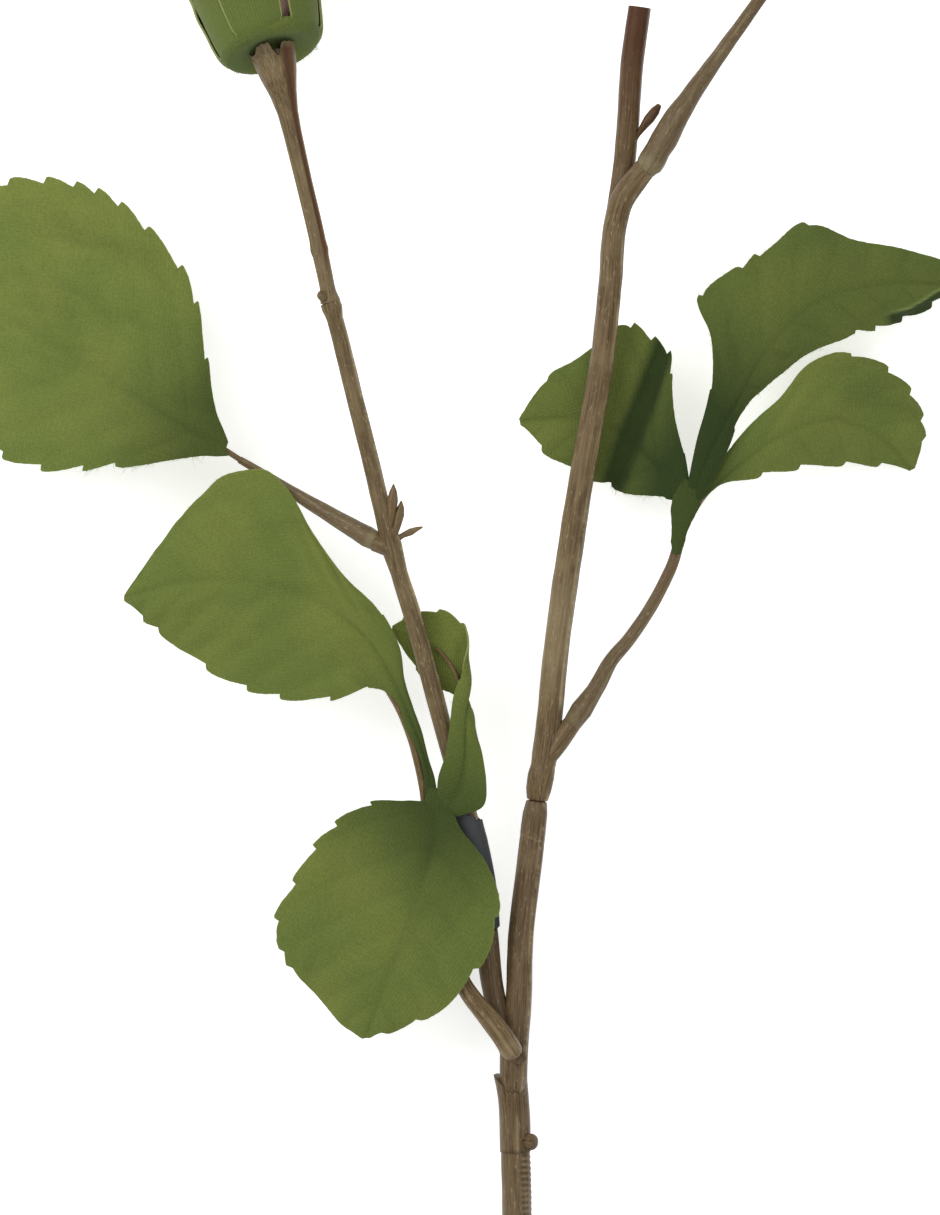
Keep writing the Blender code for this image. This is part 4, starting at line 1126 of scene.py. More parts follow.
        cosine, sine = math.cos(math.radians(self.bias)), math.sin(math.radians(self.bias))
        cloth = (across * cosine + runs * sine + 40 * self.seed, runs * cosine - across * sine)
        return sheet(grid, np.full(grid.shape[:2], self.HALF), np.stack(cloth, axis=-1), tone, ways)

    def rib(self, root: Point, dip: float, lead: Route = ()) -> Form:
        """The stalk's tapering rib, from the stalk's end on under the lobe's middle, once the sheet is made.

        Args:
            root: its first point, inside the stalk.
            dip: how much lower it lies at the foot of the lobe.
            lead: points that it follows before it goes under the lobe.

        Returns:
            The rib's form.
        """
        rows = int(self.rib_share * self.rows)
        share = np.linspace(0.0, 1.0, rows)
        fade = np.clip(1 - share / 0.35, 0.0, 1.0)
        middle = self.finished[:rows, self.COLUMNS // 2]
        points = middle - (0.95 + dip * fade)[:, None] * self.normals[:rows]
        radii = 0.65 - 0.3 * share
        step = max(2, rows // 7)
        first = rows // 2 + step if lead else step
        under = [(*point, radius) for point, radius in zip(points[first::step], radii[first::step])]
        return tube([root, *lead, *under], PLAIN, sides=12, spacing=1.6)


def knot(points: Route, seed: float = 0.0) -> Form:
    """The thicker patch of cloth where the lobes of a leaf meet.

    Args:
        points: (x, y, z, half width, half thickness) along it.
        seed: picks the unevenness.

    Returns:
        The patch's form.
    """
    rows = along(points, spacing=0.6)
    centres, widths, halves = rows[:, :3], rows[:, 3], rows[:, 4]
    _, across, upward = frames_of(centres)
    shares = edge_shares(15)
    crown = 0.4 * (1 - shares**2)
    grid = centres[:, None] + shares[None, :, None] * (widths[:, None] * across)[:, None]
    grid = grid + crown[None, :, None] * upward[:, None]
    ragged = 0.18 * unevenness(grid, (0.9, 0.9, 0.9), seed)[..., None] * across[:, None]
    grid = grid + ragged * np.abs(shares)[None, :, None]
    half = halves[:, None] * np.sqrt(np.maximum(1 - 0.9 * shares**2, 0.02))[None, :]
    tone = np.zeros(grid.shape)
    tone[..., 1] = 0.85
    return sheet(grid, half, grid[..., :2], tone)


@dataclass
class Sprig:
    """A moulded stalk with a rib under each lobe, and the leaf that it carries.

    Attributes:
        letter: the letter in the names of its solids.
        collar: the wide foot of the stalk.
        stalk: the rest of its route.
        lobes: each lobe with the dip and the lead of its rib.
        joint: points of the patch where the lobes meet.
        seam_at: the angle of the parting line on the collar and stalk.
        painted_glare: how pale the collar's end is: thin translucent plastic, with painted glare as a
            highlight.
        finish: the finish of the stalk.
        seed: picks its unevenness.
    """

    letter: str
    collar: Route
    stalk: Route
    lobes: Sequence[tuple[Lobe, float, Route]]
    joint: Route = ()
    seam_at: float = 60.0
    painted_glare: float = 0.25
    finish: MouldedPlastic = STALK_FINISH
    seed: float = 0.0

    def build(self) -> None:
        """Makes the stalk, the leaf and its loose threads."""
        route = list(self.collar) + list(self.stalk)
        moulding = Moulding(
            grooves=0.07,
            lumps=0.09,
            seam_at=self.seam_at,
            seam=0.12,
            first_cap=1.5,
            painted_glints=0.12,
            seam_pale=0.22,
            red=lambda s: 0.3 * ease(s, 0.4, 0.95),
            # The collar's end is paler: thin plastic, and painted glare standing for its highlight
            light=lambda s: self.painted_glare * (1 - ease(s, 0.02, 0.06)),
        )
        forms = [tube(route, moulding, sides=36, spacing=0.7, seed=self.seed)]
        fray = Fray(int(self.seed * 10) + 5)
        sheets = [lobe.sheet(fray) for lobe, _, _ in self.lobes]
        before, end = np.array(route[-2], float), np.array(route[-1], float)
        root = (*(0.4 * before + 0.6 * end)[:3], 0.65)
        forms += [lobe.rib(root, dip, lead) for lobe, dip, lead in self.lobes]
        stalk, leaf = f"stalk_{self.letter}", f"leaf_{self.letter}"
        add_piece(f"{stalk}_moulding", Form.merged(forms), self.finish, Slot.STALK, stalk)
        if self.joint:
            sheets.append(knot(self.joint, self.seed))
        add_piece(f"{leaf}_cloth", Form.merged(sheets), LEAF_FINISH, Slot.LEAF, leaf, CLOTH_EDGE)
        add_piece(f"{leaf}_threads", Form.merged(fray.forms), LEAF_FINISH, Slot.LEAF)


LOBE_A = Lobe(
    middle=[(-63.4, 140.5, 19.0), (-70.7, 144.4, 19.2), (-82.1, 151.4, 19.0), (-102.2, 164.1, 15.6),
            (-115.7, 172.2, 11.0), (-127.2, 178.2, 5.0)],
    left=[(-63.0, 139.0, 19.0), (-75.7, 138.3, 18.6), (-89.0, 137.0, 16.6), (-104.6, 136.7, 12.6),
          (-113.6, 140.0, 10.0), (-121.5, 151.6, 7.4), (-126.8, 167.1, 5.2)],
    right=[(-63.0, 142.0, 19.0), (-66.3, 151.2, 19.6), (-68.5, 164.4, 19.4), (-71.4, 176.5, 18.2),
           (-80.2, 188.2, 16.2), (-90.3, 196.5, 13.6), (-102.5, 199.8, 11.0), (-113.7, 198.8, 8.4),
           (-121.6, 191.4, 6.4), (-126.3, 182.2, 5.2)],
    teeth={
        Side.LEFT: [(-88.2, 136.8), (-95.4, 136.4), (-104.6, 137.2), (-112.8, 139.9), (-119.0, 147.0),
                    (-123.4, 157.4)],
        Side.RIGHT: [(-66.3, 160.6), (-71.5, 172.4), (-74.8, 180.0), (-82.0, 188.0), (-88.1, 193.4),
                     (-93.3, 195.8), (-97.5, 196.6), (-104.0, 198.2), (-111.4, 198.0), (-117.4, 196.0),
                     (-122.2, 190.4)],
    },
    strip=0.03, depth=1.6, rib_share=0.62, shaded=40, shade=0.75, hairs={Side.LEFT: 0.35}, seed=1.3,
)
LOBE_C_LONG = Lobe(
    middle=[(-18.3, 62.4, 21.9), (-19.0, 69.6, 22.0), (-20.8, 76.2, 22.2), (-23.2, 82.0, 22.4),
            (-26.0, 88.4, 22.7), (-32.2, 98.4, 23.2), (-42.7, 106.9, 23.6), (-58.0, 111.7, 23.2),
            (-73.4, 111.3, 21.0), (-85.9, 107.8, 17.5)],
    left=[(-19.4, 63.4, 21.9), (-20.2, 70.0, 22.0), (-21.9, 75.6, 22.2), (-24.2, 79.6, 22.3),
          (-25.6, 84.6, 22.4), (-29.0, 87.6, 22.4), (-40.6, 85.9, 21.4), (-52.0, 86.3, 20.4),
          (-62.1, 89.4, 19.6), (-71.4, 95.3, 18.6), (-80.2, 102.5, 18.0)],
    right=[(-17.1, 62.7, 21.9), (-17.6, 68.0, 21.9), (-19.2, 73.0, 22.0), (-20.9, 79.4, 22.3),
           (-22.6, 84.2, 22.6), (-24.2, 89.8, 23.0), (-25.6, 97.6, 23.4), (-30.0, 105.6, 24.0),
           (-38.3, 113.9, 24.6), (-44.4, 122.7, 24.6), (-50.6, 133.0, 23.8), (-54.6, 136.3, 23.2),
           (-59.8, 136.2, 22.6), (-64.4, 134.9, 22.0), (-69.0, 130.6, 21.0), (-79.0, 118.6, 19.0)],
    teeth={
        Side.LEFT: [(-40.5, 85.7), (-51.7, 86.0), (-59.1, 88.2), (-68.7, 92.4), (-78.4, 101.2),
                    (-80.8, 104.4)],
    },
    strip=0.34, rib_share=0.7, shaded=48, shade=0.8, tint=0.1, seed=2.1,
)
LOBE_C_ROUND = Lobe(
    middle=[(-16.9, 62.3, 22.4), (-17.3, 58.8, 23.4), (-19.1, 50.5, 24.2), (-22.6, 39.6, 23.8),
            (-27.0, 27.4, 22.2), (-32.7, 11.2, 18.2)],
    left=[(-14.9, 62.9, 22.4), (-11.6, 57.1, 24.0), (-6.8, 50.0, 23.4), (-4.2, 41.7, 22.4),
          (-4.6, 34.6, 22.2), (-8.1, 27.4, 22.4), (-14.3, 19.6, 21.8), (-22.0, 14.8, 20.2)],
    right=[(-19.1, 63.1, 22.4), (-25.2, 63.4, 23.2), (-31.8, 62.7, 23.0), (-40.6, 57.0, 21.0),
           (-48.3, 45.5, 18.6), (-52.3, 36.0, 17.0), (-49.5, 26.9, 16.4), (-43.3, 19.5, 16.6),
           (-37.4, 13.3, 17.4)],
    teeth={
        Side.LEFT: [(-4.4, 37.6), (-8.7, 26.6), (-21.4, 15.2), (-28.6, 11.2)],
        Side.RIGHT: [(-31.6, 62.8), (-39.4, 58.2), (-43.1, 52.2), (-48.4, 44.8), (-51.7, 36.9), (-50.2, 30.6),
                     (-47.9, 27.4)],
    },
    strip=0.06, shaded=34, shade=0.7, tint=0.17, seed=3.4, bias=-15,
)
LOBE_C_TWISTED = Lobe(
    middle=[(-15.2, 60.9, 22.4), (-11.9, 66.9, 23.2), (-11.0, 72.3, 23.6), (-10.9, 77.8, 23.4),
            (-10.8, 82.6, 22.6), (-10.7, 86.4, 21.3), (-11.6, 89.4, 20.6), (-13.6, 92.8, 20.3),
            (-16.4, 96.2, 20.2), (-20.5, 99.4, 20.2), (-27.0, 101.0, 20.4)],
    left=[(-16.9, 61.8, 22.4), (-16.8, 68.6, 23.1), (-15.4, 73.0, 23.6), (-14.5, 78.1, 24.0),
          (-14.1, 82.0, 24.1), (-13.6, 86.0, 23.9), (-12.3, 90.0, 23.4), (-11.1, 94.2, 22.8),
          (-10.3, 98.0, 22.2), (-11.2, 101.6, 21.3), (-14.5, 104.3, 20.8), (-19.8, 104.9, 20.6),
          (-24.0, 103.6, 20.5)],
    right=[(-12.5, 60.1, 22.4), (-7.0, 62.3, 23.2), (-6.4, 68.0, 23.4), (-7.4, 73.6, 22.9),
           (-8.7, 79.2, 21.8), (-10.0, 83.6, 20.4), (-12.9, 86.4, 19.2), (-16.5, 88.2, 18.8),
           (-20.2, 90.8, 19.0), (-22.6, 93.4, 19.6), (-25.1, 97.0, 20.2)],
    teeth={
        Side.LEFT: [(-11.4, 103.2), (-17.4, 105.2), (-24.8, 103.6)],
        Side.RIGHT: [(-21.8, 92.6), (-26.2, 100.6)],
    },
    strip=0.5, rib_share=0.8, depth=0.8, shaded=30, shade=0.55, tint=0.2, roll=(0.44, 0.72, 1.1),
    seed=4.2, bias=45,
)
LOBE_F_LOW = Lobe(
    middle=[(37.1, 130.4, 17.0), (33.0, 135.1, 16.2), (27.5, 140.8, 14.4), (20.9, 145.9, 12.6),
            (12.2, 147.5, 11.4), (1.1, 146.7, 10.0)],
    left=[(37.1, 128.9, 17.0), (31.9, 129.8, 16.0), (23.6, 131.6, 13.6), (16.5, 133.8, 12.2),
          (10.0, 137.8, 11.2), (4.2, 142.7, 10.4)],
    right=[(38.4, 132.6, 17.0), (37.1, 140.3, 16.6), (35.1, 147.0, 16.0), (34.3, 153.6, 15.2),
           (34.4, 158.4, 14.4), (33.6, 162.6, 13.2), (29.8, 165.4, 12.8), (24.6, 168.0, 12.4),
           (19.0, 164.6, 12.2), (13.2, 159.8, 12.0), (5.5, 154.6, 11.2), (2.5, 150.4, 10.6)],
    teeth={
        Side.LEFT: [(20.4, 132.0), (12.2, 136.2), (6.2, 141.6)],
        Side.RIGHT: [(35.6, 157.4), (34.4, 162.6), (30.2, 165.4), (25.6, 168.4), (20.4, 166.0), (7.0, 156.0)],
    },
    creases=(Crease((32.2, 161.6), (21.6, 133.8), 2.0, 2.5, 0.95),),
    strip=0.1, shaded=32, shade=0.85, tint=0.24, hairs={Side.LEFT: 0.3}, seed=5.6,
)
LOBE_F_HIGH = Lobe(
    middle=[(38.9, 130.0, 17.5), (43.2, 140.3, 18.5), (48.9, 151.2, 18.9), (55.9, 163.3, 18.2),
            (67.0, 173.3, 15.4), (80.6, 177.1, 10.0), (94.2, 177.4, 3.4), (104.5, 176.7, 0.3)],
    left=[(37.6, 131.1, 17.5), (39.9, 142.5, 18.7), (42.8, 153.4, 19.1), (43.2, 164.4, 18.8),
          (40.6, 174.1, 17.4), (49.4, 180.3, 16.6), (57.2, 185.7, 15.0), (64.8, 190.2, 13.0),
          (73.9, 187.2, 10.6), (85.1, 185.4, 7.6), (96.5, 182.3, 3.4)],
    right=[(40.6, 129.3, 17.5), (45.9, 138.5, 18.0), (50.1, 148.7, 17.5), (56.0, 155.1, 16.0),
           (62.7, 161.1, 14.0), (73.9, 166.0, 10.6), (82.4, 168.2, 7.2), (88.8, 170.4, 4.6),
           (94.0, 173.4, 3.0), (100.0, 175.2, 0.9)],
    teeth={
        Side.LEFT: [(41.2, 174.4), (50.2, 180.4), (53.6, 183.0), (64.6, 190.0)],
        Side.RIGHT: [(75.4, 166.0), (80.4, 164.8), (86.6, 169.4), (92.8, 172.8)],
    },
    strip=0.2, rib_share=0.62, shaded=50, shade=0.9, tint=0.4, hairs={Side.LEFT: 0.1, Side.RIGHT: 0.22},
    hem=(0.7, 0.97, 2.6), seed=6.8,
)
LOBE_F_RIGHT = Lobe(
    middle=[(39.3, 128.9, 16.5), (47.2, 135.0, 16.5), (57.1, 142.5, 15.8), (69.4, 147.0, 13.6),
            (80.7, 143.6, 8.5), (88.1, 136.2, 3.5)],
    left=[(38.9, 130.6, 16.5), (44.6, 137.7, 16.5), (50.5, 144.7, 16.0), (57.8, 151.3, 15.0),
          (65.4, 159.3, 13.6), (73.9, 161.4, 11.6), (82.9, 157.7, 8.6), (89.3, 150.5, 6.0),
          (90.5, 142.8, 4.4)],
    right=[(38.9, 127.6, 16.5), (45.0, 132.6, 16.2), (54.3, 135.1, 14.8), (63.9, 136.9, 12.6),
           (73.3, 137.6, 9.6), (80.8, 137.5, 6.6)],
    teeth={
        Side.LEFT: [(74.2, 161.2), (81.8, 157.2), (87.4, 152.6), (91.3, 147.4), (90.6, 142.4)],
        Side.RIGHT: [(54.6, 134.2), (63.2, 136.0), (72.8, 137.2), (80.6, 136.2)],
    },
    strip=0.12, shaded=22, shade=0.6, tint=0.18, seed=7.9,
)
LOBE_G_LEFT = Lobe(
    middle=[(61.0, 251.6, 18.6), (57.6, 260.0, 18.8), (52.0, 272.0, 17.4), (46.0, 286.0, 13.4),
            (40.0, 302.0, 7.0)],
    left=[(60.0, 251.0, 18.6), (52.6, 257.0, 18.2), (41.0, 264.0, 15.6), (33.0, 275.0, 12.4),
          (32.6, 288.0, 9.6), (37.0, 298.0, 7.4)],
    right=[(62.4, 252.4, 18.6), (65.4, 263.0, 18.4), (67.4, 276.0, 16.4), (62.0, 288.0, 12.8),
           (51.0, 297.0, 9.2), (43.0, 301.0, 7.2)],
    teeth={
        Side.LEFT: [(46.8, 260.6), (38.4, 266.8), (33.6, 273.8), (31.8, 281.6), (33.0, 289.4), (35.8, 296.0)],
        Side.RIGHT: [(66.6, 268.6), (67.8, 276.4), (64.6, 284.4), (58.0, 291.8), (50.2, 297.6)],
    },
    strip=0.12, tint=0.12, seed=8.5,
)
LOBE_G_HIGH = Lobe(
    middle=[(62.4, 251.2, 18.6), (68.6, 258.6, 18.8), (77.0, 269.0, 16.6), (87.0, 280.0, 12.0),
            (99.0, 292.0, 5.6)],
    left=[(61.6, 252.2, 18.6), (66.0, 262.0, 18.6), (70.0, 276.0, 16.2), (76.0, 288.0, 12.4),
          (86.0, 294.6, 9.0), (95.0, 294.4, 6.4)],
    right=[(63.4, 250.6, 18.6), (73.6, 254.6, 18.4), (86.0, 260.0, 15.6), (96.0, 267.0, 11.6),
           (101.0, 278.0, 8.2), (101.0, 288.0, 6.2)],
    teeth={
        Side.LEFT: [(67.6, 268.4), (70.4, 277.4), (74.6, 285.8), (80.6, 291.6), (88.6, 295.4)],
        Side.RIGHT: [(79.4, 256.8), (87.6, 260.6), (95.0, 266.0), (99.8, 273.8), (101.6, 282.4)],
    },
    strip=0.12, tint=0.2, seed=9.1,
)
LOBE_G_RIGHT = Lobe(
    middle=[(62.6, 249.8, 18.6), (71.0, 250.6, 18.0), (83.0, 252.6, 14.6), (98.0, 254.0, 5.6),
            (112.0, 252.6, 0.3)],
    left=[(62.8, 251.0, 18.6), (72.0, 254.4, 17.8), (84.0, 262.0, 13.8), (96.0, 264.6, 8.2),
          (104.0, 262.0, 4.0), (109.6, 257.0, 1.2)],
    right=[(62.2, 248.8, 18.6), (72.0, 246.4, 18.0), (84.0, 243.6, 14.4), (96.0, 242.6, 8.4),
           (104.0, 244.6, 4.0), (109.6, 249.0, 1.2)],
    teeth={
        Side.LEFT: [(77.8, 258.4), (85.0, 262.6), (93.0, 265.0), (100.8, 263.6), (107.0, 259.4)],
        Side.RIGHT: [(78.4, 244.6), (86.6, 243.0), (95.0, 242.4), (102.0, 243.8), (107.8, 247.4)],
    },
    strip=0.12, tint=0.16, seed=10.2,
)

SPRIG_A = Sprig(
    "a",
    [(-30.9, 120.4, 26.6, 2.15), (-32.4, 121.2, 26.4, 2.35), (-34.6, 122.5, 25.9, 2.1)],
    [(-37.2, 124.0, 24.9, 1.95), (-42.0, 126.9, 23.3, 1.7), (-47.1, 129.9, 21.6, 1.4),
     (-55.5, 135.2, 19.0, 0.95), (-60.4, 138.1, 17.7, 0.8)],
    [(LOBE_A, 0.6, ())],
    seam_at=70.0, seed=0.7,
)
SPRIG_C = Sprig(
    "c",
    [(-0.6, 8.4, 20.9, 2.3), (-1.3, 9.5, 21.2, 2.45), (-2.9, 12.0, 21.1, 2.4), (-5.1, 14.8, 20.6, 2.3)],
    [(-11.4, 23.3, 19.0, 1.9), (-14.3, 32.7, 18.2, 1.7), (-16.5, 41.5, 18.0, 1.5), (-19.1, 54.7, 18.4, 1.3),
     (-20.2, 61.5, 19.0, 1.1)],
    [
        (LOBE_C_LONG, 0.6, [(-20.3, 67.2, 19.8, 1.0), (-21.4, 72.0, 20.3, 0.95), (-22.5, 76.2, 20.6, 0.9),
                            (-24.0, 80.4, 20.9, 0.9), (-25.5, 83.7, 21.1, 0.85), (-27.8, 87.7, 21.2, 0.8),
                            (-33.0, 96.5, 21.6, 0.7)]),
        (LOBE_C_ROUND, 1.2, ()),
        (LOBE_C_TWISTED, 0.1, ()),
    ],
    [(-17.3, 66.2, 21.9, 1.6, 0.4), (-17.3, 63.0, 22.1, 2.6, 0.7), (-17.2, 59.4, 22.5, 2.2, 0.4)],
    seam_at=98.0, finish=STEM_FINISH, seed=1.9,
)
SPRIG_F = Sprig(
    "f",
    [(12.7, 80.4, 17.7, 2.1), (14.6, 83.2, 17.9, 2.45), (17.4, 87.3, 17.7, 1.9)],
    [(21.3, 94.2, 17.2, 1.6), (25.0, 98.6, 17.0, 1.5), (30.8, 107.4, 16.2, 1.35), (35.0, 116.2, 15.3, 1.25),
     (36.8, 124.0, 14.6, 1.1)],
    [(LOBE_F_LOW, 1.3, ()), (LOBE_F_HIGH, 1.9, ()), (LOBE_F_RIGHT, 1.65, ())],
    [(39.3, 133.2, 17.1, 2.2, 0.4), (37.7, 129.2, 17.0, 3.2, 0.7), (36.8, 126.2, 17.0, 2.6, 0.5),
     (36.2, 123.0, 17.0, 1.8, 0.4), (35.7, 120.0, 17.2, 1.5, 0.4), (35.4, 117.4, 17.3, 0.8, 0.3)],
    seam_at=55.0, painted_glare=0.1, seed=2.8,
)
SPRIG_G = Sprig(
    "g",
    [(28.8, 201.7, 22.0, 2.3), (29.3, 202.5, 22.2, 2.9), (30.1, 203.8, 22.2, 3.0), (31.3, 206.0, 22.1, 2.8),
     (32.6, 208.1, 22.2, 3.0),
     (35.2, 212.9, 22.2, 2.7), (37.8, 216.8, 22.0, 2.2)],
    [(44.0, 225.7, 21.0, 1.7), (50.4, 234.6, 19.5, 1.45), (57.1, 243.9, 17.6, 1.3), (60.5, 248.4, 16.6, 1.1)],
    [(LOBE_G_LEFT, 1.2, ()), (LOBE_G_HIGH, 1.2, ()), (LOBE_G_RIGHT, 1.2, ())],
    [(63.2, 252.8, 18.6, 2.2, 0.4), (61.6, 250.4, 18.6, 3.0, 0.7), (57.6, 244.8, 19.7, 1.6, 0.3),
     (54.6, 240.6, 20.4, 0.7, 0.3)],
    seam_at=95.0, painted_glare=0.2, seed=3.6,
)


@dataclass
class Stems:
    """The moulded stems of the spray, with their sockets, bosses, buds and the sleeve.

    Attributes:
        lower: the main stem.
        socket: its upper end, which takes the fork's tongue.
        nub: the round moulding nub beside the socket.
        fork_right: the fork's tongue and right arm.
        fork_left: its left arm.
        fork_boss: the boss under stalk C.
        right: the right stem.
        right_boss: the boss under stalk F.
        stub: the cut stub at its top.
        side_bud: the small bud beside the stub.
        left: the left stem.
        left_boss: the boss under stalk A.
        bud_scales: the three small scales above that boss.
        neck: the upper left stem, up to the funnel's rim.
        sleeve: the middle of the sleeve, without a radius.
        neck_nub: the small nub at the ring joint.
        glue: the blob of glue in the funnel, painted dark as the shade in the gap under the calyx.
        rim: the funnel's ragged rim, as (degrees, how far it stands up).
        recess: what lies behind the rim, from its edge inwards, as (width, height, how pale, how dark); its
            dark is painted shade.
        sleeve_walls: the outer and the inner radius of the sleeve.
    """

    lower: Route = (
        (-1.5, -255.0, 2.95, 3.3), (-1.2, -225, 2.95, 3.3), (-0.6, -195, 3.0, 3.3), (0.4, -150, 4.2, 3.3),
        (1.2, -100, 6.3, 3.25), (1.0, -60, 8.6, 3.2), (0.4, -25, 11.2, 3.2), (0.1, -14.0, 12.1, 3.2),
    )
    socket: Route = (
        (0.1, -14.1, 12.1, 3.4), (-0.3, -3.0, 13.0, 3.4), (-0.6, -0.5, 13.2, 3.5), (-0.9, 1.6, 13.3, 3.65),
    )
    nub: Route = ((1.6, -11.9, 13.2, 1.0), (2.7, -11.9, 14.1, 1.6), (3.5, -11.9, 14.7, 1.9))
    fork_right: Route = (
        (-0.4, -1.6, 14.4, 2.0), (-0.35, 0.4, 14.6, 2.75), (-0.3, 2.4, 14.6, 3.05), (-0.2, 7.0, 14.7, 3.05),
        (0.8, 19.3, 14.8, 2.85), (1.2, 32.6, 15.0, 2.8), (3.3, 50.2, 15.6, 2.8), (4.5, 60.5, 15.9, 2.65),
        (4.8, 63.0, 16.0, 2.25),
    )
    fork_left: Route = (
        (-0.2, 5.0, 14.2, 2.0), (-2.6, 12.0, 14.6, 2.3), (-4.8, 21.6, 15.1, 2.45), (-6.4, 34.6, 16.0, 2.65),
    )
    fork_boss: Route = ((-0.2, 6.0, 14.4, 1.7), (0.8, 6.6, 17.4, 1.5), (1.2, 6.9, 19.1, 1.35))
    right: Route = (
        (4.95, 63.6, 16.05, 2.3), (5.2, 65.6, 16.1, 2.75), (5.7, 68.6, 16.2, 2.95), (6.2, 71.0, 16.3, 2.7),
        (6.6, 73.6, 16.4, 2.85), (9.3, 98.6, 17.0, 2.8), (13.1, 124.9, 17.6, 2.75), (16.1, 142.5, 18.0, 2.7),
        (19.1, 160.0, 18.5, 2.65), (20.9, 177.6, 19.0, 2.6), (22.1, 190.3, 19.6, 2.6),
        (23.4, 195.0, 20.6, 2.6), (26.0, 198.9, 21.4, 2.65), (28.6, 202.0, 21.7, 2.45),
    )
    right_boss: Route = ((5.9, 71.5, 16.4, 2.2), (9.2, 75.5, 17.0, 2.2), (12.5, 80.2, 17.6, 2.1))
    stub: Route = (
        (22.2, 192.5, 18.8, 2.2), (23.5, 199.5, 17.8, 2.45), (24.6, 209.7, 18.3, 2.45),
        (25.7, 225.5, 18.9, 2.5), (27.3, 237.4, 19.4, 2.5),
    )
    side_bud: Route = (
        (25.2, 206.4, 18.6, 0.6), (26.9, 209.3, 19.0, 0.5), (28.0, 211.0, 19.3, 0.8),
        (29.4, 212.9, 19.5, 1.15), (30.7, 214.6, 19.6, 1.05), (31.5, 215.7, 19.7, 0.6),
    )
    left: Route = (
        (-6.5, 35.2, 16.05, 2.1), (-6.9, 41.4, 16.4, 2.1), (-10.1, 59.1, 17.9, 2.05),
        (-10.8, 61.8, 18.2, 2.05), (-15.1, 76.7, 20.2, 2.0), (-18.6, 89.8, 22.4, 2.0),
        (-22.2, 103.0, 24.4, 1.95), (-25.4, 113.4, 26.0, 1.9), (-27.1, 119.3, 26.9, 2.35),
        (-27.9, 122.6, 27.4, 2.05), (-29.5, 129.1, 28.3, 1.85), (-32.7, 142.3, 29.9, 1.8),
        (-35.9, 155.2, 31.2, 1.8), (-39.2, 168.6, 32.3, 1.8), (-39.8, 170.8, 32.5, 2.25),
        (-40.2, 172.0, 32.6, 2.2),
    )
    left_boss: Route = ((-26.9, 118.4, 26.8, 1.9), (-28.4, 119.2, 26.9, 2.1), (-30.6, 120.2, 26.7, 2.2))
    bud_scales: Sequence[Route] = (
        ((-27.3, 123.5, 28.8, 0.7), (-26.95, 126.5, 29.5, 0.95), (-26.75, 129.1, 30.0, 1.2),
         (-26.6, 131.0, 30.4, 0.8), (-26.55, 132.4, 30.6, 0.2)),
        ((-26.9, 120.8, 28.0, 0.8), (-25.9, 123.4, 28.6, 0.9), (-25.3, 126.0, 29.1, 1.1),
         (-25.0, 127.6, 29.3, 0.75), (-24.9, 128.8, 29.4, 0.2)),
        ((-26.6, 119.9, 27.2, 0.7), (-24.6, 121.4, 27.5, 0.6), (-22.8, 122.2, 27.7, 0.8),
         (-21.5, 122.8, 27.9, 0.5), (-20.4, 123.2, 28.0, 0.2)),
    )
    neck: Route = (
        (-40.25, 172.2, 32.6, 2.2), (-40.7, 174.2, 32.8, 1.75), (-41.0, 175.8, 33.0, 1.65),
        (-42.3, 182.0, 33.7, 1.75), (-42.6, 183.4, 33.8, 2.0), (-43.0, 185.4, 34.0, 1.8),
        (-46.0, 198.3, 35.3, 1.85), (-48.4, 208.6, 36.1, 2.05), (-49.4, 213.0, 36.3, 2.3),
        (-50.4, 217.2, 36.3, 3.0), (-51.5, 221.4, 36.0, 4.1), (-52.6, 225.8, 35.0, 5.0),
    )
    sleeve: Route = ((-6.5, 35.4, 16.06), (-6.9, 41.4, 16.4), (-11.3, 63.6, 18.43))
    neck_nub: Route = ((-41.2, 173.4, 33.2, 1.1), (-42.1, 173.1, 33.9, 1.45), (-42.5, 172.8, 33.9, 1.0))
    glue: Route = ((-51.9, 223.6, 36.6, 1.4), (-51.5, 225.0, 37.0, 2.3), (-51.2, 226.6, 37.1, 2.0))
    rim: Sequence[tuple[float, float]] = (
        (0, 1.4), (25, 1.2), (48, 1.1), (62, 1.0), (68, -1.2), (78, -2.4), (88, -0.6), (94, 1.2), (118, 1.4),
        (132, 1.0), (142, -0.4), (158, 0.0), (176, 1.2), (190, 0.4), (230, 0.7), (265, 0.2), (300, 0.8),
        (335, 0.4),
    )
    recess: Sequence[Point] = (
        (1.0, 0.0, 0.35, 0.15), (0.86, -0.25, 0.1, 0.2), (0.78, -0.8, 0.0, 0.7), (0.5, -0.9, 0.0, 0.9),
        (0.08, -0.9, 0.0, 0.9),
    )
    sleeve_walls: tuple[float, float] = (3.2, 2.6)

    def build(self) -> None:
        """Makes the stems in order from the cut end."""
        self.build_lower()
        self.build_fork()
        self.build_right()
        self.build_left()
        self.build_neck()
        self.build_sleeve()

    def build_lower(self) -> None:
        """The main stem with its ribbed strip, and the socket that takes the fork's tongue."""
        stem = Moulding(rib_pitch=1.3, rib_until=241.0, seam_at=None, first_cap=0.05, lumps=0.09)
        socket = Moulding(
            seam_at=75.0,
            first_cap=0.05,
            last_cap=0.15,
            grooves=0.12,
            dark=lambda s: 0.5 * (1 - ease(s, 0.01, 0.05)),
            lip=lambda turns: 1.7 * ease(-np.cos(turns), 0.1, 0.8) - 1.7 * ease(np.sin(turns), 0.1, 0.9),
        )
        nub = Moulding(grooves=0.02, lumps=0.02, seam_at=None, last_cap=1.4)
        forms = [
            tube(self.lower, stem, sides=40, spacing=0.33, seed=0.4),
            tube(self.socket, socket, sides=40, spacing=0.45, seed=0.9),
            tube(self.nub, nub, sides=24, spacing=0.3, seed=2.0),
        ]
        add_piece("lower_stem_moulding", Form.merged(forms), LOWER_FINISH, Slot.STEM, "stem_lower")

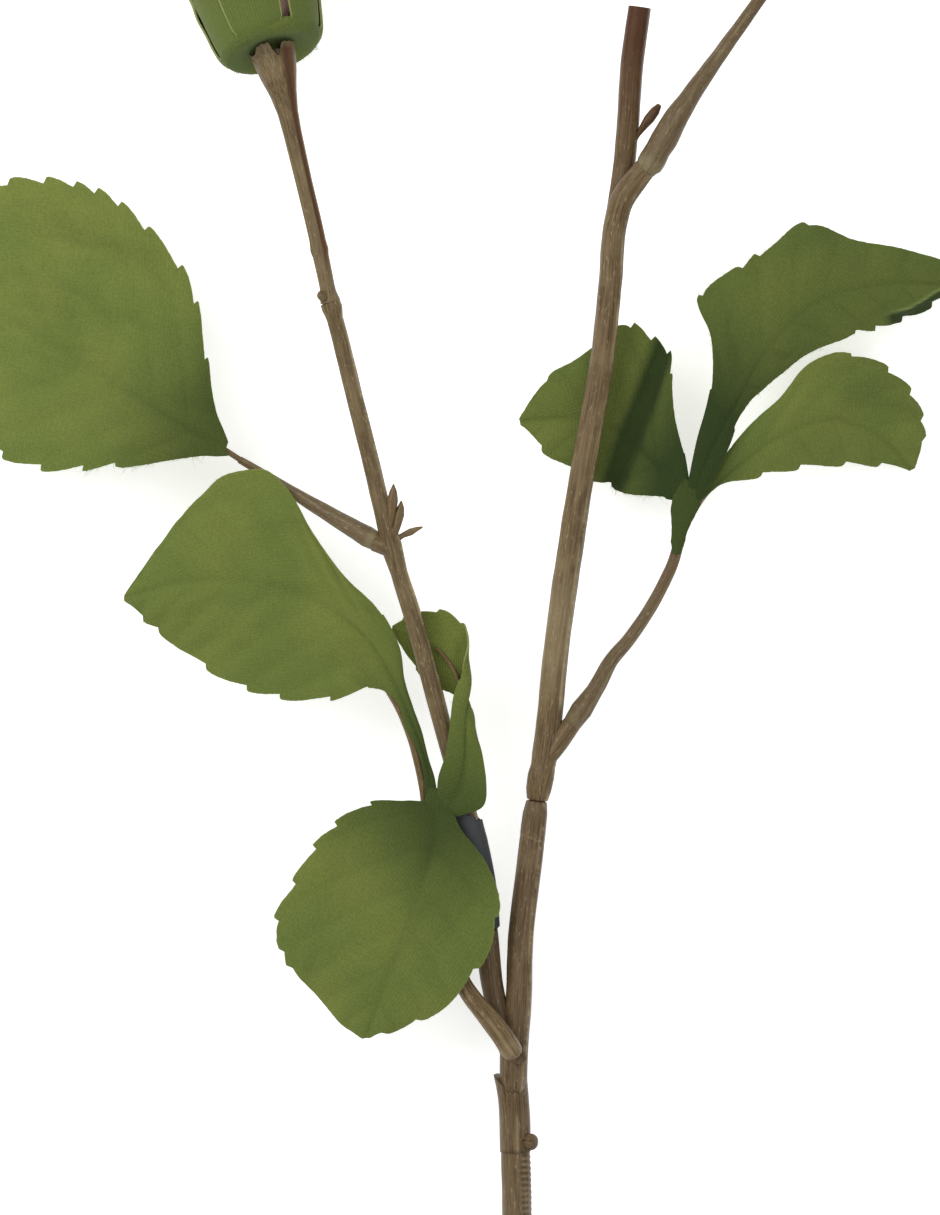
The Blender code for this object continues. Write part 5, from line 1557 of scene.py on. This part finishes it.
    def build_fork(self) -> None:
        """The forked piece: its tongue in the socket, right arm, left socket and boss."""
        right = Moulding(
            seam_at=50.0,
            seam=0.13,
            grooves=0.12,
            painted_glints=0.55,
            rings=((56.4, -0.7),),
            dark=lambda s: 0.6 * (1 - ease(s, 0.0, 0.035)),
            first_cap=1.2,
        )
        left = Moulding(seam_at=None, grooves=0.09, dark=lambda s: 0.25 * within(s, 0.0, 0.9, 0.3, 0.5))
        forms = [
            tube(self.fork_right, right, sides=40, spacing=0.5, seed=3.3),
            tube(self.fork_left, left, sides=32, spacing=0.5, seed=3.9),
            tube(self.fork_boss, PLAIN, sides=24, spacing=0.5, seed=4.1),
        ]
        add_piece("fork_moulding", Form.merged(forms), LOWER_FINISH, Slot.STEM, "stem_fork")

    def build_right(self) -> None:
        """The right stem from its bead to its bend, the stub, the side bud and the boss for stalk F."""
        stem = Moulding(
            seam_at=40.0,
            grooves=0.13,
            lumps=0.1,
            first_cap=0.5,
            last_cap=0.6,
            painted_glints=0.5,
            spot=(51.1, 60.0, 1.3),
            light=lambda s: 0.3 * ease(s, 0.12, 0.25) * (1 - ease(s, 0.28, 0.4)),
        )
        stub = Moulding(
            seam_at=None,
            first_cap=1.2,
            last_cap=0.02,
            red=lambda s: 0.25 + 0.75 * ease(s, 0.3, 0.9),
        )
        bud = Moulding(seam_at=None, grooves=0.03, lumps=0.03, last_cap=0.4, red=lambda s: 0.6 + 0.1 * s)
        forms = [
            tube(self.right, stem, sides=40, spacing=0.6, seed=5.2),
            tube(self.right_boss, PLAIN, sides=24, spacing=0.6, seed=5.4),
            tube(self.stub, stub, sides=32, spacing=0.6, seed=5.9),
            tube(self.side_bud, bud, sides=18, spacing=0.4, seed=6.3),
        ]
        add_piece("right_stem_moulding", Form.merged(forms), STEM_FINISH, Slot.STEM, "stem_right")

    def build_left(self) -> None:
        """The left stem from its socket to the ring joint, the bud scales and the boss for stalk A."""
        stem = Moulding(
            seam_at=35.0,
            grooves=0.11,
            lumps=0.08,
            first_cap=0.2,
            painted_glints=0.6,
            rings=((28.5, 0.5),),
        )
        scale = Moulding(
            seam_at=None,
            grooves=0.03,
            lumps=0.03,
            last_cap=0.2,
            red=lambda s: 0.2 + 0.1 * s,
            light=lambda s: np.full_like(s, 0.08),
        )
        forms = [
            tube(self.left, stem, sides=36, spacing=0.6, seed=7.1),
            tube(self.left_boss, PLAIN, sides=24, spacing=0.6, seed=7.5),
        ]
        for i, route in enumerate(self.bud_scales):
            forms.append(tube(route, scale, sides=16, spacing=0.4, seed=8.0 + i))
        add_piece("left_stem_moulding", Form.merged(forms), LEFT_FINISH, Slot.STEM, "stem_left")

    def build_neck(self) -> None:
        """The upper left stem, which opens into a ragged funnel with a recess under the calyx, darkened with
        painted shade.
        """
        sides = 72
        pipe = Pipe(self.neck, sides, spacing=0.6)
        runs, degrees, shape = pipe.runs, np.degrees(pipe.angles), pipe.wall.shape[:2]
        relief = 0.10 * unevenness(pipe.wall, (2.4, 2.4, 0.02), 4.4)
        relief = relief + 0.07 * unevenness(pipe.wall, (5.0, 5.0, 0.03), 9.4)
        relief *= (0.5 + 0.5 * pipe.radii / 2.0)[:, None]
        groove = bump(degrees - 52, 9)[None, :] * ease(runs, 4.0, 20.0)[:, None]
        relief -= 0.22 * groove
        rings = pipe.rings(relief)
        red = np.broadcast_to(ease(-np.abs(degrees - 46), -27, -15), shape) * ease(runs, 3, 12)[:, None]
        worn = np.broadcast_to(0.12 * (1 - ease(runs, 22, 40))[:, None], shape) * (1 - red)
        tone = np.stack([worn, 0.45 * groove, 0.9 * red], axis=-1)
        # Every ring but the last, then the ragged rim, the inside of the wall and the recess, darkened with
        # painted shade
        turns = np.array([turn for turn, _ in self.rim] + [360.0])
        heights = np.array([height for _, height in self.rim] + [self.rim[0][1]])
        up = np.interp(degrees, turns, heights) + 0.15 * np.sin(pipe.angles * 23)
        rows, tones, places = list(rings[:-1]), list(tone[:-1]), list(pipe.straight[:-1])
        middle, ahead = pipe.centres[-1], pipe.forward[-1]
        rim = rings[-1] + up[:, None] * ahead + pipe.circle[-1] * (0.05 * up)[:, None]
        # Where the rim is torn down, the rings below it are pulled down with it
        for back in range(1, 7):
            drop = np.minimum(up + 0.6 * back, 0.0)
            rows[-back] = rows[-back] + drop[:, None] * ahead
        # The recess is a dark plug where there is only shade: painted shade, darker inwards
        for share, down, pale, dark in self.recess:
            level = rim - middle - up[:, None] * ahead * (share < 0.8)
            rows.append(middle + level * share + down * ahead)
            tones.append(np.tile((pale, dark, 0.1), (sides, 1)))
            places.append(pipe.straight[-1] * (share, share, 1.0))
        foot = rows[0].mean(axis=0)
        rows.insert(0, foot + (rows[0] - foot) * 0.85 - 0.1 * pipe.forward[0])
        tones.insert(0, tones[0])
        places.insert(0, places[0])
        faces = ring_faces(len(rows), sides, ends=True)
        tone = np.clip(np.concatenate(tones), 0, 1)
        funnel = Form(np.concatenate(rows), faces, np.concatenate(places), tone)
        # The glue blob is darkened with painted shade, standing for the dark gap under the calyx
        shaded_glue = Moulding(grooves=0.1, lumps=0.25, seam_at=None, dark=lambda s: np.full_like(s, 0.65))
        forms = [
            funnel,
            tube(self.neck_nub, PLAIN, sides=18, spacing=0.3, seed=6.6),
            tube(self.glue, shaded_glue, sides=24, spacing=0.4, seed=2.2),
        ]
        add_piece("neck_moulding", Form.merged(forms), LEFT_FINISH, Slot.STEM, "stem_neck")

    def build_sleeve(self) -> None:
        """The dark sleeve, a thin open tube with a torn, slanting top."""
        sides = 48
        rows, tones, places = [], [], []
        # The outer wall from end to end, then the inner wall back
        for radius, order in zip(self.sleeve_walls, (1, -1)):
            pipe = Pipe([(*place, radius) for place in self.sleeve], sides, spacing=0.6)
            runs, angles = pipe.runs, pipe.angles
            rough = 0.05 * unevenness(pipe.wall, (1.6, 1.6, 0.25), 2.2)
            slant = 5.5 * (0.5 + 0.5 * np.cos(angles)) + 0.35 * np.sin(9 * angles) + 0.2 * np.sin(23 * angles)
            low = 0.3 * np.sin(5 * angles + 1) + 0.15 * np.sin(17 * angles)
            back = ease(runs, runs[-1] - 12, runs[-1])[:, None] * slant[None, :]
            ahead = (1 - ease(runs, 0, 4))[:, None] * low[None, :]
            rings = pipe.rings(rough) + (ahead - back)[..., None] * pipe.forward[:, None]
            pale = 0.9 * ease(runs, runs[-1] - 0.7, runs[-1]) + 0.8 * (1 - ease(runs, 0.2, 0.9))
            tone = np.zeros(rings.shape)
            tone[..., 0] = pale[:, None]
            rows += list(rings[::order])
            tones += list(tone[::order])
            places += list(pipe.straight[::order])
        faces = ring_faces(len(rows), sides, closed=True)
        tone = np.clip(np.concatenate(tones), 0, 1)
        form = Form(np.concatenate(rows), faces, np.concatenate(places), tone)
        add_piece("sleeve_wrap", form, SLEEVE_FINISH, Slot.SLEEVE, "sleeve")


@dataclass(frozen=True)
class Pressing:
    """How a sepal or a petal is pressed and painted.

    Attributes:
        cup: the largest radius that it curls to.
        half: half its thickness.
        frill: how wavy its edges are.
        fold: how deep its middle vein is.
        shaded: how dark its root is.
    """

    cup: float
    half: float
    frill: float
    fold: float
    shaded: float


SEPAL_PRESSING = Pressing(cup=17.0, half=0.22, frill=0.3, fold=0.06, shaded=0.2)
OUTER_PRESSING = Pressing(cup=12.0, half=0.2, frill=0.5, fold=0.35, shaded=0.55)
SPIRAL_PRESSING = Pressing(cup=10.0, half=0.2, frill=0.4, fold=0.35, shaded=0.7)


@dataclass
class Bloom:
    """The flower head: a cup of sepals and layered petals, nodding a little from the end of the neck.

    Attributes:
        foot: the middle of the calyx.
        axis: the way that the bloom faces.
        dish: the profile of the calyx's dish, as (height, radius).
        sepal_path: the path of a sepal, as (height, radius, width).
        sepals: each sepal's direction in degrees, width against the path's, and how far it lies out.
        core: the profile of the petals' core.
        outer_path: the path of a petal of the outer ring.
        outer_petals: how many petals the outer ring has.
        spiral_petals: how many petals the spiral has.
        dome_middle: the height of the middle of the dome that the spiral's tips lie on.
        dome_radius: its reach to the sides.
        dome_height: its reach along the axis.
    """

    foot: Point = (-53.1, 227.4, 34.4)
    axis: Point = (-0.269, 0.897, -0.35)
    dish: Sequence[tuple[float, float]] = (
        (-4.2, 1.2), (-0.6, 1.3), (-0.5, 5.6), (-1.0, 7.4), (-1.3, 9.0), (-1.05, 10.1), (-0.2, 10.95),
        (0.8, 11.3), (1.3, 11.2), (1.1, 10.8), (0.0, 9.9), (-0.3, 9.0), (0.2, 7.8), (1.0, 6.0), (1.1, 3.0),
    )
    sepal_path: Sequence[Point] = (
        (-0.8, 9.2, 9.2), (-0.2, 10.3, 10.6), (0.7, 11.15, 11.6), (2.6, 11.75, 12.2), (6.0, 12.4, 13.0),
        (13.0, 13.5, 14.2), (20.0, 14.2, 14.2), (25.5, 14.9, 11.4), (29.5, 16.2, 2.0),
    )
    sepals: Sequence[tuple[float, float, float]] = (
        (97.0, 1.0, 0.5), (33.0, 0.82, -0.1), (154.0, 1.06, -0.4), (-28.0, 1.04, 0.45), (212.0, 1.0, 0.35),
        (272.0, 1.05, -0.3),
    )
    core: Sequence[tuple[float, float]] = (
        (2.4, 3.0), (3.8, 7.6), (6.0, 9.8), (12.0, 10.3), (20.0, 10.7), (29.0, 11.4), (32.0, 11.2),
        (36.0, 9.2), (40.0, 6.0), (43.0, 1.6),
    )
    outer_path: Sequence[Point] = (
        (2.2, 8.6, 5.0), (4.5, 10.2, 7.6), (9.0, 11.0, 8.4), (17.0, 11.5, 8.8), (27.0, 12.1, 10.5),
        (30.6, 13.6, 11.5), (33.0, 18.0, 13.5), (34.6, 25.0, 15.0), (35.4, 31.6, 1.6),
    )
    outer_petals: int = 9
    spiral_petals: int = 47
    dome_middle: float = 32.0
    dome_radius: float = 32.0
    dome_height: float = 18.0

    GOLDEN_TURN = math.radians(137.508)
    BLADE_SPACING, BLADE_COLUMNS = 1.1, 19
    # Heights that the lowest petals are pressed flat to: over the surface, of the spiral, and between layers
    SURFACE_GAP, SPIRAL_LEVEL, LAYER = 0.2, 1.4, 0.13
    # How far every second petal of the outer ring stands out against its neighbours, each way
    STAGGER = 0.45
    # The spiral, from its outermost petal to the heart: the root's height, the lean in degrees, the width,
    # and how much tighter the petals curl
    ROOT_LOW, ROOT_RISE, ROOT_SUNK = 30.8, 11.6, 1.5
    LEAN_LOW, LEAN_RISE = 14, 73
    WIDEST, NARROWING = 14.0, 8.0
    TIGHTENING = 4.0

    def __post_init__(self) -> None:
        """Works out the bloom's own directions."""
        self.centre = np.array(self.foot)
        self.ahead = unit(np.array(self.axis))
        self.front = unit(UP - self.ahead[2] * self.ahead)
        self.side = np.cross(self.ahead, self.front)

    def outward(self, angle: float) -> np.ndarray:
        """The direction away from the axis at an angle."""
        return math.cos(angle) * self.side + math.sin(angle) * self.front

    def turned(self, profile: Sequence[tuple[float, float]], sides: int, spacing: float, dark: float) -> Form:
        """A closed round form about the axis.

        Args:
            profile: points of (height, radius).
            sides: points of each ring.
            spacing: distance between rings.
            dark: how dark it is.

        Returns:
            The form.
        """
        rows = along(profile, spacing=spacing, axes=2)
        angles = full_turn(sides)
        ways = np.array([self.outward(angle) for angle in angles])
        circle = np.stack([np.cos(angles), np.sin(angles), np.ones(sides)], axis=-1)
        rings = [self.centre + height * self.ahead + radius * ways for height, radius in rows]
        places = [circle * (radius, radius, 1.0) for _, radius in rows]
        tone = np.tile((0.0, dark, 0.0), (len(rows) * sides, 1))
        faces = ring_faces(len(rows), sides, ends=True)
        return Form(np.concatenate(rings), faces, np.concatenate(places), tone)

    def blade(
        self,
        angle: float,
        path: Sequence[Point],
        pressing: Pressing,
        level: float = 0.0,
        step: float = 0.0,
        seed: float = 0.0,
    ) -> Form:
        """One cupped blade of cloth.

        Args:
            angle: its direction from the axis.
            path: points of (height, radius, width) from root to tip.
            pressing: how it is pressed and painted.
            level: the height that it is pressed flat to.
            step: how far it is moved out from the axis.
            seed: picks the unevenness.

        Returns:
            The blade's form.
        """
        stations = along(path, spacing=self.BLADE_SPACING, axes=2)
        heights, radii, widths = stations.T
        radii = radii + step
        share = np.linspace(0, 1, len(heights))
        rise, spread = unit(np.gradient(stations[:, :2], axis=0)).T
        outward, sideways = self.outward(angle), self.outward(angle + math.pi / 2)
        cups = np.clip(radii, 5.0, pressing.cup)
        columns = edge_shares(self.BLADE_COLUMNS)
        grid = []
        for column in columns:
            turn = column * widths / 2 / cups
            lift = cups * (1 - np.cos(turn))
            height, radius = heights + lift * spread, radii - lift * rise
            places = self.centre + height[:, None] * self.ahead + radius[:, None] * outward
            grid.append(places + (cups * np.sin(turn))[:, None] * sideways)
        grid = np.stack(grid, axis=1)
        ways = facing(grid)
        shape = grid.shape[:2]
        across = columns[None, :] * widths[:, None] / 2
        ahead = np.broadcast_to((share * 30)[:, None], shape)
        flat = np.stack([across, ahead, np.full(shape, seed)], axis=-1)
        wave = unevenness(flat, (0.25, 0.22, 1.0), seed * 1.7) * (0.3 + columns**2)[None, :]
        vein = bump(across, 0.5) + 0.35 * np.cos(across * 2.6) * (1 - columns**4)
        lift = pressing.frill * wave * ease(share, 0.1, 0.5)[:, None]
        lift = lift - pressing.fold * vein * ease(share, 0.05, 0.4)[:, None] * 0.5
        grid = grid + lift[..., None] * ways
        grid[..., 2] = np.maximum(grid[..., 2], level)
        pressed = grid[..., 2] <= level + 1e-6
        ways[pressed] = np.sign(ways[pressed][:, 2:]) * UP
        tone = np.zeros(grid.shape)
        tone[..., 0] = 0.8 * ease(np.abs(columns), 0.955, 1.0)[None, :]
        tone[..., 0] += 0.15 * ease(share, 0.7, 1.0)[:, None]
        tone[..., 1] = pressing.shaded * (1 - ease(share, 0.1, 0.75))[:, None]
        return sheet(grid, np.full(shape, pressing.half), flat[..., :2] + (11 * seed, 7 * seed), tone, ways)

    def petal_path(self, share: float) -> list[Point]:
        """The path of a petal of the spiral.

        Args:
            share: its place in the spiral, 0 for the outermost petal and 1 for the heart.

        Returns:
            Points of (height, radius, width) from root to tip.
        """
        root_height = self.ROOT_LOW + self.ROOT_RISE * share
        heights, radii = np.array(self.core).T
        root_radius = max(np.interp(root_height, heights, radii) - self.ROOT_SUNK, 0.3)
        lean = math.radians(self.LEAN_LOW + self.LEAN_RISE * share**0.85)
        tip_height = self.dome_middle + self.dome_height * math.sin(lean)
        tip_radius = self.dome_radius * math.cos(lean)
        root, tip = np.array((root_height, root_radius)), np.array((tip_height, tip_radius))
        chord = tip - root
        out = unit(np.array((-chord[1], chord[0]))) * (1.0 + 7.0 * share * (1 - share))
        # Along the chord, out from it, and the share of the full width
        stations = ((0, 0, 0.45), (0.33, 1.0, 0.85), (0.66, 0.9, 1.0), (0.88, 0.4, 0.72), (1, 0, 0.06))
        width = self.WIDEST - self.NARROWING * share
        return [(*(root + far * chord + aside * out), width * part) for far, aside, part in stations]

    def build(self) -> None:
        """Makes the calyx, its loose threads and the petals."""
        self.build_calyx()
        self.build_petals()

    def build_calyx(self) -> None:
        """The cup under the bloom: a dish with overlapping sepals."""
        forms = [self.turned(self.dish, sides=72, spacing=0.7, dark=0.1)]
        fray = Fray(77)
        for i, (turn, share, step) in enumerate(self.sepals):
            path = [(height, radius, width * share) for height, radius, width in self.sepal_path]
            form = self.blade(math.radians(turn), path, SEPAL_PRESSING, step=step, seed=3.0 + i)
            forms.append(form)
            top = form.points[: len(form.points) // 2].reshape(-1, self.BLADE_COLUMNS, 3)
            for column, inner in ((0, 2), (-1, -3)):
                edge = top[2:-2, column]
                outward = unit(edge - top[2:-2, inner])
                fray.along_edge(edge, outward, count=60, length=0.6, pale=0.6)
        outward = np.array([self.outward(angle) for angle in full_turn(90)])
        bottom = self.centre - 0.9 * self.ahead + 10.4 * outward
        fray.along_edge(bottom, unit(outward - 0.8 * self.ahead), count=150, length=1.1, pale=0.6)
        add_piece("calyx_cloth", Form.merged(forms), SEPAL_FINISH, Slot.SEPAL, "calyx", CLOTH_EDGE)
        add_piece("calyx_threads", Form.merged(fray.forms), SEPAL_FINISH, Slot.SEPAL)

    def build_petals(self) -> None:
        """The petals: an outer ring that rises inside the calyx, and a spiral on a small core."""
        forms = [self.turned(self.core, sides=36, spacing=1.5, dark=0.9)]
        for i in range(self.outer_petals):
            angle = 2 * math.pi * i / self.outer_petals - math.pi / 2
            step = self.STAGGER if i % 2 else -self.STAGGER
            level = self.SURFACE_GAP + (self.LAYER * (1 + i % 3) if i else 0.0)
            forms.append(self.blade(angle, self.outer_path, OUTER_PRESSING, level, step, 1.0 + i * 0.61))
        for i in range(self.spiral_petals):
            share = i / (self.spiral_petals - 1)
            pressing = replace(SPIRAL_PRESSING, cup=SPIRAL_PRESSING.cup - self.TIGHTENING * share)
            level = self.SPIRAL_LEVEL + self.LAYER * (i % 5)
            path = self.petal_path(share)
            forms.append(self.blade(i * self.GOLDEN_TURN, path, pressing, level, seed=2.0 + i * 0.37))
        add_piece("petals_cloth", Form.merged(forms), PETAL_FINISH, Slot.PETAL, "petals", CLOTH_EDGE)


@dataclass
class Studio:
    """The white surface, the soft light and the camera over the spray.

    Attributes:
        aim: the middle of the photograph's frame, in millimetres from the fork.
        height: the camera's height over the plane that the frame is measured in.
        plane: the height of that plane.
        frame_height: how much of that plane the frame's height covers.
    """

    aim: tuple[float, float] = (-9.9, 105.7)
    height: float = 1500.0
    plane: float = 15.0
    frame_height: float = 267.3

    SENSOR = 24.0
    FLOOR_REACH = 3.0
    DAYLIGHT = 0.5

    def build(self) -> None:
        """Makes the floor, the lights and the camera."""
        floor = bpy.data.objects.new("floor", bpy.data.meshes.new("floor"))
        reach = self.FLOOR_REACH
        corners = [(-reach, -reach, 0.0), (reach, -reach, 0.0), (reach, reach, 0.0), (-reach, reach, 0.0)]
        floor.data.from_pydata(corners, [], [(0, 1, 2, 3)])
        floor.data.materials.append(SeamlessPaper().material())
        bpy.context.scene.collection.objects.link(floor)
        floor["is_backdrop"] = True
        self.add_light("window_light", place=(-0.75, 0.55, 0.95), size=0.9, power=8.5)
        self.add_light("ceiling_light", place=(0.5, -0.3, 1.6), size=1.6, power=7.0)
        world = bpy.data.worlds.new("room")
        world.use_nodes = True
        daylight = world.node_tree.nodes["Background"].inputs
        daylight["Color"].default_value = (1.0, 1.0, 1.0, 1.0)
        daylight["Strength"].default_value = self.DAYLIGHT
        scene = bpy.context.scene
        scene.world = world
        scene.view_settings.view_transform = "Standard"
        camera = bpy.data.cameras.new("camera")
        camera.sensor_fit = "VERTICAL"
        camera.sensor_height = self.SENSOR
        camera.lens = self.SENSOR * self.height / self.frame_height
        camera.clip_start, camera.clip_end = 0.01, 20.0
        holder = bpy.data.objects.new("camera", camera)
        holder.location = (*((np.array(self.aim) + FORK[:2]) * MM), (self.height + self.plane) * MM)
        scene.collection.objects.link(holder)
        scene.camera = holder

    def add_light(self, name: str, place: Point, size: float, power: float) -> None:
        """Adds a soft square light that faces the spray.

        Args:
            name: the light's name.
            place: its place in metres from the middle of the frame.
            size: its side in metres.
            power: its power in watts.
        """
        lamp = bpy.data.lights.new(name, "AREA")
        lamp.shape, lamp.size, lamp.energy = "SQUARE", size, power
        holder = bpy.data.objects.new(name, lamp)
        middle = np.array((*((np.array(self.aim) + FORK[:2]) * MM), 0.0))
        holder.location = middle + np.array(place)
        holder.rotation_euler = Vector(tuple(-np.array(place))).to_track_quat("-Z", "Y").to_euler()
        bpy.context.scene.collection.objects.link(holder)


def write_size() -> None:
    """Works out the solids' box and the dressed model's box, without writing them anywhere."""
    boxes = {"cad": CAD_BOX, "visual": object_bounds()}
    {name: [list(map(float, corner)) for corner in box] for name, box in boxes.items()}


def main() -> None:
    """Builds the spray and the studio in order."""
    logging.basicConfig(level=logging.INFO, format="%(name)s: %(message)s")
    Studio().build()
    Stems().build()
    for sprig in (SPRIG_A, SPRIG_C, SPRIG_F, SPRIG_G):
        sprig.build()
    Bloom().build()
    write_size()


if __name__ == "__main__":
    main()
